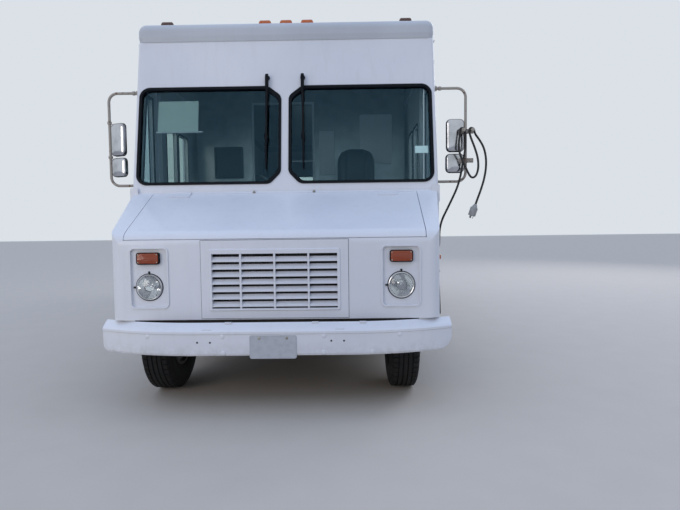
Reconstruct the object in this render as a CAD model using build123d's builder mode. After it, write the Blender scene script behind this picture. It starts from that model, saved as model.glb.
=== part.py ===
from build123d import *
import math
import os

os.makedirs("parts", exist_ok=True)

# A walk-in step van fitted out as a food truck, in millimetres
# The front faces -Y, the driver's side is +X (left), the ground is Z = 0
# The origin is on the ground, under the middle of the length and the width

# Overall sizes
length = 7000
body_half = 1203
wall = 40
skirt_z = 480
roof_seam_z = 2744
roof_top_z = 2898
floor_z = 870
floor_thick = 40
fit_gap = 0.3
run_gap = 5

# Lengthwise places
front_y = -length / 2
bumper_reach = 130
nose_depth = 625
rear_step_depth = 120
nose_y = front_y + bumper_reach
cowl_y = nose_y + nose_depth
rear_y = length / 2 - rear_step_depth
front_axle_y = nose_y + 550
wheelbase = 3990
rear_axle_y = front_axle_y + wheelbase
inner_half = body_half - wall
floor_under_z = floor_z - floor_thick

# Nose and hood
nose_narrowing = 90
nose_rear_half = body_half - 18
nose_front_half = nose_rear_half - nose_narrowing
nose_bottom_z = 613
nose_break_z = 1180
nose_rear_z = 1492
cowl_z = 1508
cowl_strip = 25
skin = 25
hood_seam_z = 1153
hood_front_half = nose_front_half - 92
hood_rear_half = nose_rear_half - 161
hood_gap = 5
shoulder_radius = 105
hood_hinge_x = hood_rear_half - 224
hood_axis_rise = 10.3

# Windshield wall, which leans back
shield_bottom_z = 1520
shield_set_back = 217
shield_wall = 45
pane_inner_x = 29
pane_outer_x = body_half - 31
pane_bottom_z = 1567
pane_top_z = 2360
gasket_width = 22
glass_thick = 6

# Cab doors, which slide rearward inside the walls
door_front_y = nose_y + 1120
door_width = 760
door_top_z = 2480
door_bottom_z = 520
door_thick = 35
door_lap = 30
door_wall_gap = 8
door_travel = 720

# Serving side
hatch_front_y = door_front_y + door_width + 880
hatch_width = 1900
hatch_bottom_z = 1480
hatch_top_z = 2380
shelf_drop = 300
hinge_radius = 7

# Rear doors
rear_door_half = 700
rear_door_top_z = 2560

# Wheels and tyres
tyre_diameter = 776
tyre_width = 215
rim_diameter = 406
bead_share = 0.36
flange = 8
wheel_x = 890
hub_reach = 20
hand_holes = 8
hand_hole_ring = 138
hand_hole_radius = 17
kingpin_x = 765
dual_inner_x = 705
dual_outer_x = 955
axle_z = tyre_diameter / 2
arch_radius = 485

# Frame
rail_x = 430
rail_width = 70
rail_height = 190
rail_top_z = 660
rail_bottom_z = rail_top_z - rail_height

# Mirrors
mirror_x = body_half + 257
mirror_y = nose_y + 840
mirror_top_z = 2338
mirror_bend = 72
mirror_low_z = 1585
mirror_tube = 22

sides = (("left", 1), ("right", -1))


def shield_y(z, behind=0):
    """Y of the windshield wall's outer face at a height, or of a face that lies behind it."""
    slope = shield_set_back / (roof_seam_z - shield_bottom_z)
    return cowl_y + (z - shield_bottom_z) * slope + behind


# Ladder frame: two channel rails, cross members and the sills that carry the floor
rail_front_y = nose_y + 60
rail_rear_y = rear_y - 60
rail_web = 8
cross_ys = (
    rail_front_y + 60, front_axle_y + 620, front_axle_y + 1920,
    rear_axle_y - 870, rear_axle_y + 700, rail_rear_y - 60,
)
sill_ys = (
    front_axle_y + 1400, front_axle_y + 1920, front_axle_y + 2420, rear_axle_y - 1070, rear_axle_y - 610,
    rear_axle_y + 610, rear_axle_y + 1080, rail_rear_y - 570, rail_rear_y - 80,
)
sill_depth = 60
sill_half = inner_half - door_wall_gap - door_thick - 15

with BuildPart() as chassis_frame:
    for side in (-1, 1):
        with BuildSketch(Plane.XZ.offset(-rail_rear_y)):
            with Locations((side * rail_x, rail_top_z - rail_height / 2)):
                Rectangle(rail_width, rail_height)
            with Locations((side * (rail_x - rail_web), rail_top_z - rail_height / 2)):
                Rectangle(rail_width, rail_height - 2 * rail_web, mode=Mode.SUBTRACT)
        extrude(amount=rail_rear_y - rail_front_y)
    for y in cross_ys:
        with Locations((0, y, rail_top_z - rail_height / 2)):
            Box(2 * rail_x + rail_width - 2, 70, rail_height - 60)
    for y in sill_ys:
        with BuildSketch(Plane.XZ.offset(-y)):
            with BuildLine():
                Polyline(
                    (-sill_half, floor_under_z), (sill_half, floor_under_z), (sill_half, floor_under_z - 40),
                    (rail_x + 60, rail_top_z), (-rail_x - 60, rail_top_z), (-sill_half, floor_under_z - 40),
                    close=True,
                )
            make_face()
        extrude(amount=sill_depth / 2, both=True)

chassis_frame.part.label = "chassis_frame"
export_step(chassis_frame.part, "parts/chassis_frame.step")

# Front axle beam with kingpin eyes, on two leaf springs under the rails
spring_width = 64
spring_thick = 26
spring_half = 440
eye_height = 50
beam_height = 70
beam_top_z = axle_z - 12


def leaf_spring(side, axle_y, low_z, half):
    """One leaf spring pack: it is clamped at the axle and its ends hang from the rail."""
    end_z = rail_bottom_z - 34
    front_end = (axle_y - half, end_z)
    rear_end = (axle_y + half, end_z)
    front_top = (axle_y - half, end_z + spring_thick)
    rear_top = (axle_y + half, end_z + spring_thick)
    with BuildPart() as spring:
        with BuildSketch(Plane.YZ.offset(side * rail_x - spring_width / 2)):
            with BuildLine():
                ThreePointArc(front_end, (axle_y, low_z), rear_end)
                Line(rear_end, rear_top)
                ThreePointArc(rear_top, (axle_y, low_z + spring_thick), front_top)
                Line(front_top, front_end)
            make_face()
        extrude(amount=spring_width)
        for end_y in (axle_y - half, axle_y + half):
            with Locations((side * rail_x, end_y, rail_bottom_z)):
                Box(spring_width, 60, 60, align=(Align.CENTER, Align.CENTER, Align.MAX))
    return spring.part


with BuildPart() as front_suspension:
    with Locations((0, front_axle_y, beam_top_z)):
        Box(2 * (kingpin_x - 40), 56, beam_height, align=(Align.CENTER, Align.CENTER, Align.MAX))
    with Locations((0, front_axle_y, beam_top_z - beam_height / 2)):
        Box(2 * (kingpin_x - 20), 56, eye_height)
    for side in (-1, 1):
        add(leaf_spring(side, front_axle_y, beam_top_z - 2, spring_half))
        with Locations((side * kingpin_x, front_axle_y, beam_top_z - beam_height / 2)):
            Cylinder(34, eye_height)
            Cylinder(14 + fit_gap, 2 * eye_height, mode=Mode.SUBTRACT)
front_suspension.part.label = "front_suspension"
export_step(front_suspension.part, "parts/front_suspension.step")

# Rear axle housing, its springs and the propeller shaft
rear_spindle = 35
rear_spring_half = 680
axle_tube = 46
hub_inner_x = dual_inner_x - 60
with BuildPart() as rear_suspension:
    with BuildSketch(Plane.YZ.offset(-hub_inner_x)):
        with Locations((rear_axle_y, axle_z)):
            Circle(axle_tube)
    extrude(amount=2 * hub_inner_x)
    with BuildSketch(Plane.YZ.offset(-dual_outer_x)):
        with Locations((rear_axle_y, axle_z)):
            Circle(rear_spindle)
    extrude(amount=2 * dual_outer_x)
    with Locations((0, rear_axle_y, axle_z)):
        Sphere(165)
    for side in (-1, 1):
        add(leaf_spring(side, rear_axle_y, axle_z - axle_tube - spring_thick + 3, rear_spring_half))
    with BuildSketch(Plane.XZ.offset(-rear_axle_y)):
        with Locations((0, axle_z + 10)):
            Circle(40)
    extrude(amount=rear_axle_y - (nose_y + 1100))
rear_suspension.part.label = "rear_suspension"
export_step(rear_suspension.part, "parts/rear_suspension.step")

# Engine, one plain block between the rails
engine_front_y = nose_y + 360
engine_length = 700
engine_half = 270
engine_bottom_z = 400
engine_top_z = 1040
with BuildPart() as engine_block:
    with Locations((0, engine_front_y + engine_length / 2, (engine_bottom_z + engine_top_z) / 2)):
        Box(2 * engine_half, engine_length, engine_top_z - engine_bottom_z)
    with Locations((0, front_axle_y, engine_bottom_z)):
        Box(3 * engine_half, 120, 120, mode=Mode.SUBTRACT)
    mount_reach = rail_x + rail_width / 2 - rail_web
    with Locations((0, engine_front_y + engine_length - 90, rail_bottom_z + rail_web)):
        Box(2 * mount_reach, 90, 44, align=(Align.CENTER, Align.CENTER, Align.MIN))
engine_block.part.label = "engine_block"
export_step(engine_block.part, "parts/engine_block.step")

# Front bumper: a pressed channel with a lip that slopes up behind its face and ends bowed to the rear
bumper_half = body_half - 23
bumper_bottom_z = 395
bumper_edge_z = 551
bumper_depth = 64
bumper_lip_slope = 0.72
bumper_sheet = 8
bumper_bead = 5
bow_start = 500
bow_radius = 1500
bow_angle = 28
right_end_radius = 60
left_end_radius = 100
plate_bolt_spread = 178
plate_bolt_z = 512
plate_bolt_radius = 3.5


bumper_back_y = front_y + bumper_depth
bumper_face_y = front_y + bumper_bead
lip_foot_y = front_y + 12
lip_foot_z = bumper_edge_z + 17


def lip_point(y, under):
    """A point on the sloping lip, or on its underside, at a place behind the face."""
    return (y, lip_foot_z - under + bumper_lip_slope * (y - lip_foot_y))


bumper_section = (
    (bumper_back_y, bumper_bottom_z), (bumper_face_y + 18, bumper_bottom_z),
    (bumper_face_y + 5, bumper_bottom_z + 5), (bumper_face_y, bumper_bottom_z + 18),
    (bumper_face_y, bumper_edge_z - 15), (front_y, bumper_edge_z - 9), (front_y, bumper_edge_z + 4),
    (lip_foot_y, lip_foot_z), lip_point(bumper_back_y, 0),
)
hollow_section = (
    (bumper_back_y + 20, bumper_bottom_z + bumper_sheet), (bumper_face_y + bumper_sheet, bumper_bottom_z + bumper_sheet),
    (bumper_face_y + bumper_sheet, bumper_edge_z - 6), lip_point(lip_foot_y + 8, 12), lip_point(bumper_back_y + 20, 12),
)


def bowed(section, angle):
    """A section drawn along the bumper: a straight middle and two ends bowed to the rear."""
    with BuildPart() as form:
        with BuildSketch(Plane.YZ.offset(-bow_start)):
            with BuildLine():
                Polyline(*section, close=True)
            make_face()
        extrude(amount=2 * bow_start)
        for side in (-1, 1):
            with BuildSketch(Plane.YZ.offset(side * bow_start)):
                with BuildLine():
                    Polyline(*section, close=True)
                make_face()
            revolve(axis=Axis((side * bow_start, front_y + bow_radius, 0), (0, 0, side)), revolution_arc=angle)
    return form.part


with BuildPart() as front_bumper:
    add(bowed(bumper_section, bow_angle))
    add(bowed(hollow_section, bow_angle + 2), mode=Mode.SUBTRACT)
    with BuildSketch(Plane.XZ.offset(-front_y)):
        with BuildLine():
            FilletPolyline(
                (-bumper_half, 2 * bumper_edge_z), (-bumper_half, bumper_bottom_z),
                (bumper_half, bumper_bottom_z), (bumper_half, 2 * bumper_edge_z),
                radius=[right_end_radius, left_end_radius],
            )
            Line((bumper_half, 2 * bumper_edge_z), (-bumper_half, 2 * bumper_edge_z))
        make_face()
    extrude(amount=bumper_half, both=True, mode=Mode.INTERSECT)
    for side in (-1, 1):
        with Locations((side * rail_x, front_y + bumper_sheet, rail_bottom_z + 30)):
            Box(60, rail_front_y - front_y - bumper_sheet, 70, align=(Align.CENTER, Align.MIN, Align.MIN))
    with BuildSketch(Plane.XZ.offset(-front_y)):
        with Locations((-plate_bolt_spread / 2, plate_bolt_z), (plate_bolt_spread / 2, plate_bolt_z)):
            Circle(plate_bolt_radius)
    extrude(amount=-3 * bumper_sheet, mode=Mode.SUBTRACT)
front_bumper.part.label = "front_bumper"
export_step(front_bumper.part, "parts/front_bumper.step")


# Nose: a pressed shell that narrows to the front, with the hood let into its top
def nose_form(inset, deeper):
    """The nose's outer form, or the hollow inside it."""
    with BuildPart() as form:
        with BuildSketch(Plane.YZ):
            with BuildLine():
                foot = (nose_y + inset, nose_bottom_z - deeper)
                shoulder = (nose_y + inset, nose_break_z - inset)
                hood_end = (cowl_y - cowl_strip, nose_rear_z - inset)
                back = (cowl_y + deeper, cowl_z - inset)
                upper = FilletPolyline(foot, shoulder, hood_end, back, radius=[shoulder_radius - inset / 2, 30])
                Polyline(back, (cowl_y + deeper, nose_bottom_z - deeper), foot)
            make_face()
        extrude(amount=body_half, both=True)
        with BuildSketch():
            with BuildLine():
                Polyline(
                    (-nose_front_half + inset, nose_y + inset), (nose_front_half - inset, nose_y + inset),
                    (nose_rear_half - inset, cowl_y + deeper), (-nose_rear_half + inset, cowl_y + deeper),
                    close=True,
                )
            face = make_face()
            fillet(face.vertices().group_by(Axis.Y)[0], 75 - inset)
        extrude(amount=2 * roof_seam_z, both=True, mode=Mode.INTERSECT)
    return form.part


def hood_zone(clearance):
    """The space that the hood takes out of the nose's skin."""
    with BuildPart() as zone:
        with BuildSketch(Plane.XY.offset(hood_seam_z - clearance)):
            with BuildLine():
                Polyline(
                    (-hood_front_half - clearance, nose_y - 50), (hood_front_half + clearance, nose_y - 50),
                    (hood_rear_half + clearance, cowl_y - cowl_strip + clearance),
                    (-hood_rear_half - clearance, cowl_y - cowl_strip + clearance), close=True,
                )
            make_face()
        extrude(amount=600)
    return zone.part


grille_panel_half = 490
grille_panel_low_z = 622
grille_panel_high_z = 1142
grille_half = 442
grille_low_z = 668
grille_high_z = 1088
grille_lip = 12
lamp_x = nose_front_half - 257
lamp_half = 131
lamp_low_z = 692
lamp_high_z = 1101
lamp_corner = 34
lamp_field_depth = 12
lamp_lip = 8
head_x = lamp_x + 3
head_z = 834
head_hole = 86
signal_x = lamp_x + 3
signal_z = 1030
cap_high_z = 1545
cap_depth = 24

with BuildPart() as nose_shell:
    add(nose_form(0, 0))
    add(nose_form(skin, 40), mode=Mode.SUBTRACT)
    add(hood_zone(hood_gap), mode=Mode.SUBTRACT)
    for side in (-1, 1):
        lamp_middle = (side * lamp_x, (lamp_low_z + lamp_high_z) / 2)
        with BuildSketch(Plane.XZ.offset(-nose_y)):
            with Locations(lamp_middle):
                RectangleRounded(2 * lamp_half, lamp_high_z - lamp_low_z, lamp_corner)
        extrude(amount=lamp_lip)
        with BuildSketch(Plane.XZ.offset(-nose_y + lamp_lip)):
            with Locations(lamp_middle):
                RectangleRounded(2 * lamp_half - 20, lamp_high_z - lamp_low_z - 20, lamp_corner - 10)
        extrude(amount=-lamp_lip - lamp_field_depth, mode=Mode.SUBTRACT)
        with BuildSketch(Plane.XZ.offset(-nose_y)):
            with Locations((side * head_x, head_z)):
                Circle(head_hole)
        extrude(amount=-2 * skin, mode=Mode.SUBTRACT)
    with Locations((0, nose_y, (grille_panel_low_z + grille_panel_high_z) / 2)):
        Box(2 * grille_panel_half, 4 * skin, grille_panel_high_z - grille_panel_low_z, mode=Mode.SUBTRACT)
    with BuildSketch(Plane.YZ.offset(-body_half)):
        with Locations((front_axle_y, axle_z)):
            Circle(arch_radius)
    extrude(amount=2 * body_half, mode=Mode.SUBTRACT)
    for side in (-1, 1):
        with BuildSketch(Plane.XZ.offset(-cowl_y)):
            with BuildLine():
                FilletPolyline(
                    (side * 1146, cap_high_z), (side * (body_half + 3), cap_high_z), (side * (body_half + 3), 1412),
                    (side * 1182, 1396), (side * 1168, 1455), (side * 1146, 1480), radius=10, close=True,
                )
            make_face()
        extrude(amount=cap_depth)
nose_shell.part.label = "nose_shell"
export_step(nose_shell.part, "parts/nose_shell.step")

hood_axis_y = cowl_y - cowl_strip + hood_gap / 2
hood_axis_z = nose_rear_z + hood_axis_rise
with BuildPart() as hood:
    add(nose_form(0, 0))
    add(nose_form(skin, 40), mode=Mode.SUBTRACT)
    add(hood_zone(0), mode=Mode.INTERSECT)
    for side in (-1, 1):
        with BuildSketch(Plane.YZ.offset(side * hood_hinge_x - 75)):
            with Locations((hood_axis_y, hood_axis_z)):
                Circle(hinge_radius)
            with BuildLine():
                Polyline(
                    (hood_axis_y - 60, nose_rear_z - 35), (hood_axis_y - 6, nose_rear_z - 8),
                    (hood_axis_y, hood_axis_z + 2), (hood_axis_y - 66, nose_rear_z - 26), close=True,
                )
            make_face()
        extrude(amount=150)
hood.part.label = "hood"
export_step(hood.part, "parts/hood.step")

# Grille: a flat panel with a raised frame round tilted louvre blades and three upright bars
blade_count = 7
blade_pitch = 50
blade_rise = 33
blade_depth = 30
blade_sheet = 4
bar_width = 12
bar_spacing = 226
panel_rise = 4
frame_width = 25
field_half = grille_half - frame_width
field_low_z = grille_low_z + 20
field_high_z = grille_high_z - 36
grille_middle_z = (grille_low_z + grille_high_z) / 2
with BuildPart() as grille:
    with BuildSketch(Plane.XZ.offset(-nose_y)):
        with Locations((0, (grille_panel_low_z + grille_panel_high_z) / 2)):
            Rectangle(2 * grille_panel_half, grille_panel_high_z - grille_panel_low_z)
    extrude(amount=-skin)
    extrude(grille.faces().sort_by(Axis.Y)[0], amount=panel_rise)
    with BuildSketch(Plane.XZ.offset(-nose_y)):
        with Locations((0, grille_middle_z)):
            RectangleRounded(2 * grille_half, grille_high_z - grille_low_z, 16)
    extrude(amount=grille_lip, taper=35)
    with BuildSketch(Plane.XZ.offset(-nose_y + grille_lip)):
        with Locations((0, (field_low_z + field_high_z) / 2)):
            Rectangle(2 * field_half, field_high_z - field_low_z)
    extrude(amount=-2 * skin, mode=Mode.SUBTRACT)
    for row in range(blade_count):
        blade_low_z = field_high_z - (row + 1) * blade_pitch - 3
        with BuildSketch(Plane.YZ.offset(-field_half)):
            with BuildLine():
                Polyline(
                    (nose_y - grille_lip + 3, blade_low_z), (nose_y - grille_lip + 3, blade_low_z + 8),
                    (nose_y - grille_lip + 7, blade_low_z + 9),
                    (nose_y - grille_lip + blade_depth, blade_low_z + blade_rise),
                    (nose_y - grille_lip + blade_depth + blade_sheet, blade_low_z + blade_rise - 2),
                    (nose_y - grille_lip + 10, blade_low_z + 5), (nose_y - grille_lip + 7, blade_low_z), close=True,
                )
            make_face()
        extrude(amount=2 * field_half)
    with BuildSketch(Plane.XZ.offset(-nose_y + grille_lip - 2)):
        with Locations((0, (field_low_z + field_high_z) / 2)):
            with GridLocations(bar_spacing, 0, 3, 1):
                Rectangle(bar_width, field_high_z - field_low_z)
    extrude(amount=-blade_depth + 6)
grille.part.label = "grille"
export_step(grille.part, "parts/grille.step")

# Headlamps: sealed beams with a flat rim, a domed lens and a bowl through the panel
with BuildPart() as headlamps:
    for side in (-1, 1):
        with BuildSketch(Plane.XY.offset(head_z)):
            with BuildLine():
                field_y = nose_y + lamp_field_depth
                x0 = side * head_x
                Polyline(
                    (x0, field_y - 24), (x0, field_y + 80), (x0 + side * 40, field_y + 80),
                    (x0 + side * (head_hole - 2), field_y + 20), (x0 + side * (head_hole - 2), field_y),
                    (x0 + side * 96, field_y), (x0 + side * 96, field_y - 6), (x0 + side * 84, field_y - 12),
                    (x0 + side * 62, field_y - 19), (x0 + side * 30, field_y - 24), close=True,
                )
            make_face()
        revolve(axis=Axis((x0, 0, head_z), (0, 1, 0)))
headlamps.part.label = "headlamps"
export_step(headlamps.part, "parts/headlamps.step")

# Amber lamps: turn signals on the nose, side markers and five markers on the roof's front edge
roof_half = body_half + 5
roof_overhang = 14
roof_sheet = 35
roof_roll = 70
roof_tuck = 8
roof_tuck_height = 40
marker_outer_x = roof_half - 223
marker_inner_x = 174
marker_xs = (-marker_outer_x, -marker_inner_x, 0, marker_inner_x, marker_outer_x)
marker_size = (108, 52, 38)
side_marker_y = 500
side_marker_z = 990
nose_taper = Vector(nose_rear_half - nose_front_half, nose_depth, 0)
with BuildPart() as amber_lamps:
    for side in (-1, 1):
        with BuildSketch(Plane.XZ.offset(-nose_y - lamp_field_depth)):
            with Locations((side * signal_x, signal_z)):
                RectangleRounded(160, 84, 16)
        extrude(amount=30)
        nose_side = Plane(
            origin=(side * nose_front_half, nose_y, side_marker_z),
            x_dir=(side * nose_taper.X, nose_taper.Y, 0), z_dir=(side * nose_taper.Y, -nose_taper.X, 0),
        )
        with BuildSketch(nose_side):
            with Locations((side_marker_y, 0)):
                RectangleRounded(70, 36, 8)
        extrude(amount=28)
    for x in marker_xs:
        with BuildSketch(Plane.XY.offset(roof_top_z)):
            with Locations((x, shield_y(roof_seam_z) - roof_overhang + roof_roll + marker_size[1] / 2)):
                RectangleRounded(marker_size[0], marker_size[1], 18)
        extrude(amount=marker_size[2], taper=18)
amber_lamps.part.label = "amber_lamps"
export_step(amber_lamps.part, "parts/amber_lamps.step")

# Windshield wall: a leaning slab with two panes, the firewall below it and the cowl between
slab_plane = Plane(
    origin=(0, cowl_y, shield_bottom_z),
    x_dir=(1, 0, 0),
    z_dir=(0, -(roof_seam_z - shield_bottom_z), shield_set_back),
)
lean = math.hypot(1, shield_set_back / (roof_seam_z - shield_bottom_z))
slab_height = (roof_seam_z - shield_bottom_z) * lean


def pane_outline(side, inset):
    """One pane's outline on the leaning wall: small outer corners and long cut inner ones."""
    low = (pane_bottom_z - shield_bottom_z) * lean + inset
    high = (pane_top_z - shield_bottom_z) * lean - inset
    inner = side * (pane_inner_x + inset)
    outer = side * (pane_outer_x - inset)
    outer_round = 85 - inset
    inner_round = 70 - inset * 0.5
    with BuildSketch(mode=Mode.PRIVATE) as outline:
        with BuildLine():
            FilletPolyline(
                (inner, low + 92), (inner + side * 88, low), (outer, low), (outer, high),
                (inner + side * 108, high), (inner, high - 84),
                radius=[inner_round, inner_round, outer_round, outer_round, inner_round, inner_round], close=True,
            )
        make_face()
    return outline.sketch


with BuildPart() as front_wall:
    with BuildSketch(Plane.YZ.offset(-body_half)):
        with BuildLine():
            Polyline(
                (cowl_y, shield_bottom_z), (shield_y(roof_seam_z), roof_seam_z),
                (shield_y(roof_seam_z, shield_wall * lean), roof_seam_z),
                (shield_y(shield_bottom_z, shield_wall * lean), shield_bottom_z), close=True,
            )
        make_face()
    extrude(amount=2 * body_half)
    fillet(front_wall.edges().filter_by(lambda e: abs(e.length - slab_height) < 1).group_by(Axis.Y)[0], 30)
    with BuildSketch(slab_plane):
        for side in (-1, 1):
            add(pane_outline(side, 0))
    extrude(amount=-2 * shield_wall, mode=Mode.SUBTRACT)
    with Locations((0, cowl_y, floor_z)):
        Box(2 * inner_half, 30, shield_bottom_z - floor_z, align=(Align.CENTER, Align.MIN, Align.MIN))
        Box(2 * engine_half + 40, 80, 300, align=(Align.CENTER, Align.CENTER, Align.MIN), mode=Mode.SUBTRACT)
front_wall.part.label = "front_wall"
export_step(front_wall.part, "parts/front_wall.step")

quarter_front = 115
quarter_rear_y = door_front_y - 110
quarter_low_z = 1600
quarter_high_z = 2330


def quarter_outline():
    """The quarter window behind the windshield pillar, on a side wall."""
    Polyline(
        (shield_y(quarter_low_z, quarter_front), quarter_low_z), (quarter_rear_y, quarter_low_z),
        (quarter_rear_y, quarter_high_z), (shield_y(quarter_high_z, quarter_front), quarter_high_z), close=True,
    )


with BuildPart() as cab_glass:
    with BuildSketch(slab_plane.offset(-shield_wall / 2)):
        for side in (-1, 1):
            add(pane_outline(side, gasket_width))
    extrude(amount=glass_thick)
    for side in (-1, 1):
        with BuildSketch(Plane.YZ.offset(side * (inner_half + wall / 2))):
            with BuildLine():
                quarter_outline()
            make_face()
        extrude(amount=side * glass_thick)
cab_glass.part.label = "cab_glass"
export_step(cab_glass.part, "parts/cab_glass.step")

with BuildPart() as window_gaskets:
    with BuildSketch(slab_plane.offset(7)):
        for side in (-1, 1):
            add(pane_outline(side, 0))
            add(pane_outline(side, gasket_width), mode=Mode.SUBTRACT)
    extrude(amount=-shield_wall)
window_gaskets.part.label = "window_gaskets"
export_step(window_gaskets.part, "parts/window_gaskets.step")

# Side walls with wheel arches, door openings, quarter windows and the serving opening
rub_rail_z = 900
track_z = door_top_z + 40


def wall_outline():
    """A side wall's outline, from the leaning front edge to the rear frame."""
    Polyline(
        (cowl_y, skirt_z), (cowl_y, shield_bottom_z),
        (shield_y(shield_bottom_z, shield_wall * lean), shield_bottom_z),
        (shield_y(roof_seam_z, shield_wall * lean), roof_seam_z),
        (rear_y - wall, roof_seam_z), (rear_y - wall, skirt_z), close=True,
    )


for name, side in sides:
    with BuildPart() as side_wall:
        with BuildSketch(Plane.YZ.offset(side * inner_half)):
            with BuildLine():
                wall_outline()
            make_face()
            for axle_y in (front_axle_y, rear_axle_y):
                with Locations((axle_y, axle_z)):
                    Circle(arch_radius, mode=Mode.SUBTRACT)
            with Locations((door_front_y + door_width / 2, (door_top_z + door_bottom_z) / 2)):
                Rectangle(door_width, door_top_z - door_bottom_z, mode=Mode.SUBTRACT)
            with BuildLine():
                quarter_outline()
            make_face(mode=Mode.SUBTRACT)
            if name == "right":
                with Locations((hatch_front_y + hatch_width / 2, (hatch_top_z + hatch_bottom_z) / 2)):
                    Rectangle(hatch_width, hatch_top_z - hatch_bottom_z, mode=Mode.SUBTRACT)
        extrude(amount=side * wall)
        with BuildSketch(Plane.YZ.offset(side * body_half)):
            rail_start = door_front_y + door_width + 40
            rail_stop = rear_y - wall - 60
            with Locations(((rail_start + rail_stop) / 2, rub_rail_z)):
                Rectangle(rail_stop - rail_start, 46)
            with Locations((rear_axle_y, axle_z)):
                Circle(arch_radius + 30, mode=Mode.SUBTRACT)
        extrude(amount=side * 9)
        with BuildSketch(Plane.YZ.offset(side * inner_half)):
            track_length = door_width + 2 * door_lap + door_travel
            with Locations((door_front_y - door_lap + track_length / 2, track_z + 20)):
                Rectangle(track_length, 40)
        extrude(amount=-side * (door_wall_gap + door_thick))
    side_wall.part.label = f"wall_{name}"
    export_step(side_wall.part, f"parts/wall_{name}.step")

# Cab doors with two panes, hung from a track inside the wall
door_window_low_z = 1400
door_window_high_z = 2130
door_window_y = door_front_y + 80
door_window_width = 600
door_window_middle = (door_window_y + door_window_width / 2, (door_window_low_z + door_window_high_z) / 2)
door_window_height = door_window_high_z - door_window_low_z
window_bar = 50
door_outer_x = inner_half - door_wall_gap
for name, side in sides:
    with BuildPart() as cab_door:
        with BuildSketch(Plane.YZ.offset(side * (door_outer_x - door_thick))):
            with Locations((door_front_y + door_width / 2, (door_top_z + door_bottom_z) / 2 + 5)):
                Rectangle(door_width + 2 * door_lap, door_top_z - door_bottom_z + 10)
            with Locations(door_window_middle):
                RectangleRounded(door_window_width, door_window_height, 40, mode=Mode.SUBTRACT)
                Rectangle(window_bar, door_window_height)
        extrude(amount=side * door_thick)
        for hanger in (0.15, 0.85):
            hanger_y = door_front_y - door_lap + hanger * (door_width + 2 * door_lap)
            with Locations((side * (door_outer_x - door_thick / 2), hanger_y, door_top_z)):
                Box(20, 60, track_z - door_top_z - fit_gap, align=(Align.CENTER, Align.CENTER, Align.MIN))
    cab_door.part.label = f"cab_door_{name}"
    export_step(cab_door.part, f"parts/cab_door_{name}.step")
    with BuildPart() as door_glass:
        with BuildSketch(Plane.YZ.offset(side * (door_outer_x - door_thick / 2 - glass_thick / 2))):
            with Locations(door_window_middle):
                RectangleRounded(door_window_width, door_window_height, 40)
                Rectangle(window_bar, door_window_height, mode=Mode.SUBTRACT)
        extrude(amount=side * glass_thick)
    door_glass.part.label = f"door_glass_{name}"
    export_step(door_glass.part, f"parts/door_glass_{name}.step")

# Floor with the engine opening, two step wells and the driver's seat pedestal
step_inner_x = inner_half - 283
step_tread_z = 505
step_sheet = 12
step_outer_x = door_outer_x - door_thick - run_gap
seat_x = inner_half - 583
seat_y = nose_y + 1490
seat_base_z = 1290
with BuildPart() as floor_pan:
    with Locations((0, cowl_y, floor_z)):
        Box(2 * inner_half, rear_y - wall - cowl_y, floor_thick, align=(Align.CENTER, Align.MIN, Align.MAX))
    with Locations((0, cowl_y, floor_z)):
        engine_hole = engine_front_y + engine_length + 20 - cowl_y
        Box(2 * engine_half + 40, 2 * engine_hole, 3 * floor_thick, mode=Mode.SUBTRACT)
    for side in (-1, 1):
        well_x = side * (step_inner_x + inner_half) / 2
        well_y = door_front_y + door_width / 2
        with Locations((well_x, well_y, floor_z)):
            Box(inner_half - step_inner_x, door_width, 3 * floor_thick, mode=Mode.SUBTRACT)
        with Locations((side * (step_inner_x - step_sheet + step_outer_x) / 2, well_y, step_tread_z)):
            Box(
                step_outer_x - step_inner_x + step_sheet, door_width + 2 * step_sheet, step_sheet,
                align=(Align.CENTER, Align.CENTER, Align.MAX),
            )
        slot_length = door_width + 2 * door_lap + door_travel + 2 * run_gap
        with Locations((side * step_outer_x, door_front_y - door_lap - run_gap, floor_z)):
            Box(
                inner_half, slot_length, 3 * floor_thick,
                align=(Align.MIN if side > 0 else Align.MAX, Align.MIN, Align.CENTER), mode=Mode.SUBTRACT,
            )
        with Locations((side * (step_inner_x - step_sheet / 2), well_y, step_tread_z - step_sheet)):
            Box(
                step_sheet, door_width + 2 * step_sheet, floor_z - step_tread_z + step_sheet,
                align=(Align.CENTER, Align.CENTER, Align.MIN),
            )
        for end in (-1, 1):
            end_y = well_y + end * (door_width + step_sheet) / 2
            with Locations((side * (step_inner_x + step_outer_x) / 2, end_y, step_tread_z - step_sheet)):
                Box(
                    step_outer_x - step_inner_x, step_sheet, floor_z - step_tread_z + step_sheet,
                    align=(Align.CENTER, Align.CENTER, Align.MIN),
                )
    with Locations((seat_x, seat_y, floor_z)):
        Box(300, 320, seat_base_z - floor_z, align=(Align.CENTER, Align.CENTER, Align.MIN))
floor_pan.part.label = "floor_pan"
export_step(floor_pan.part, "parts/floor_pan.step")

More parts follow.
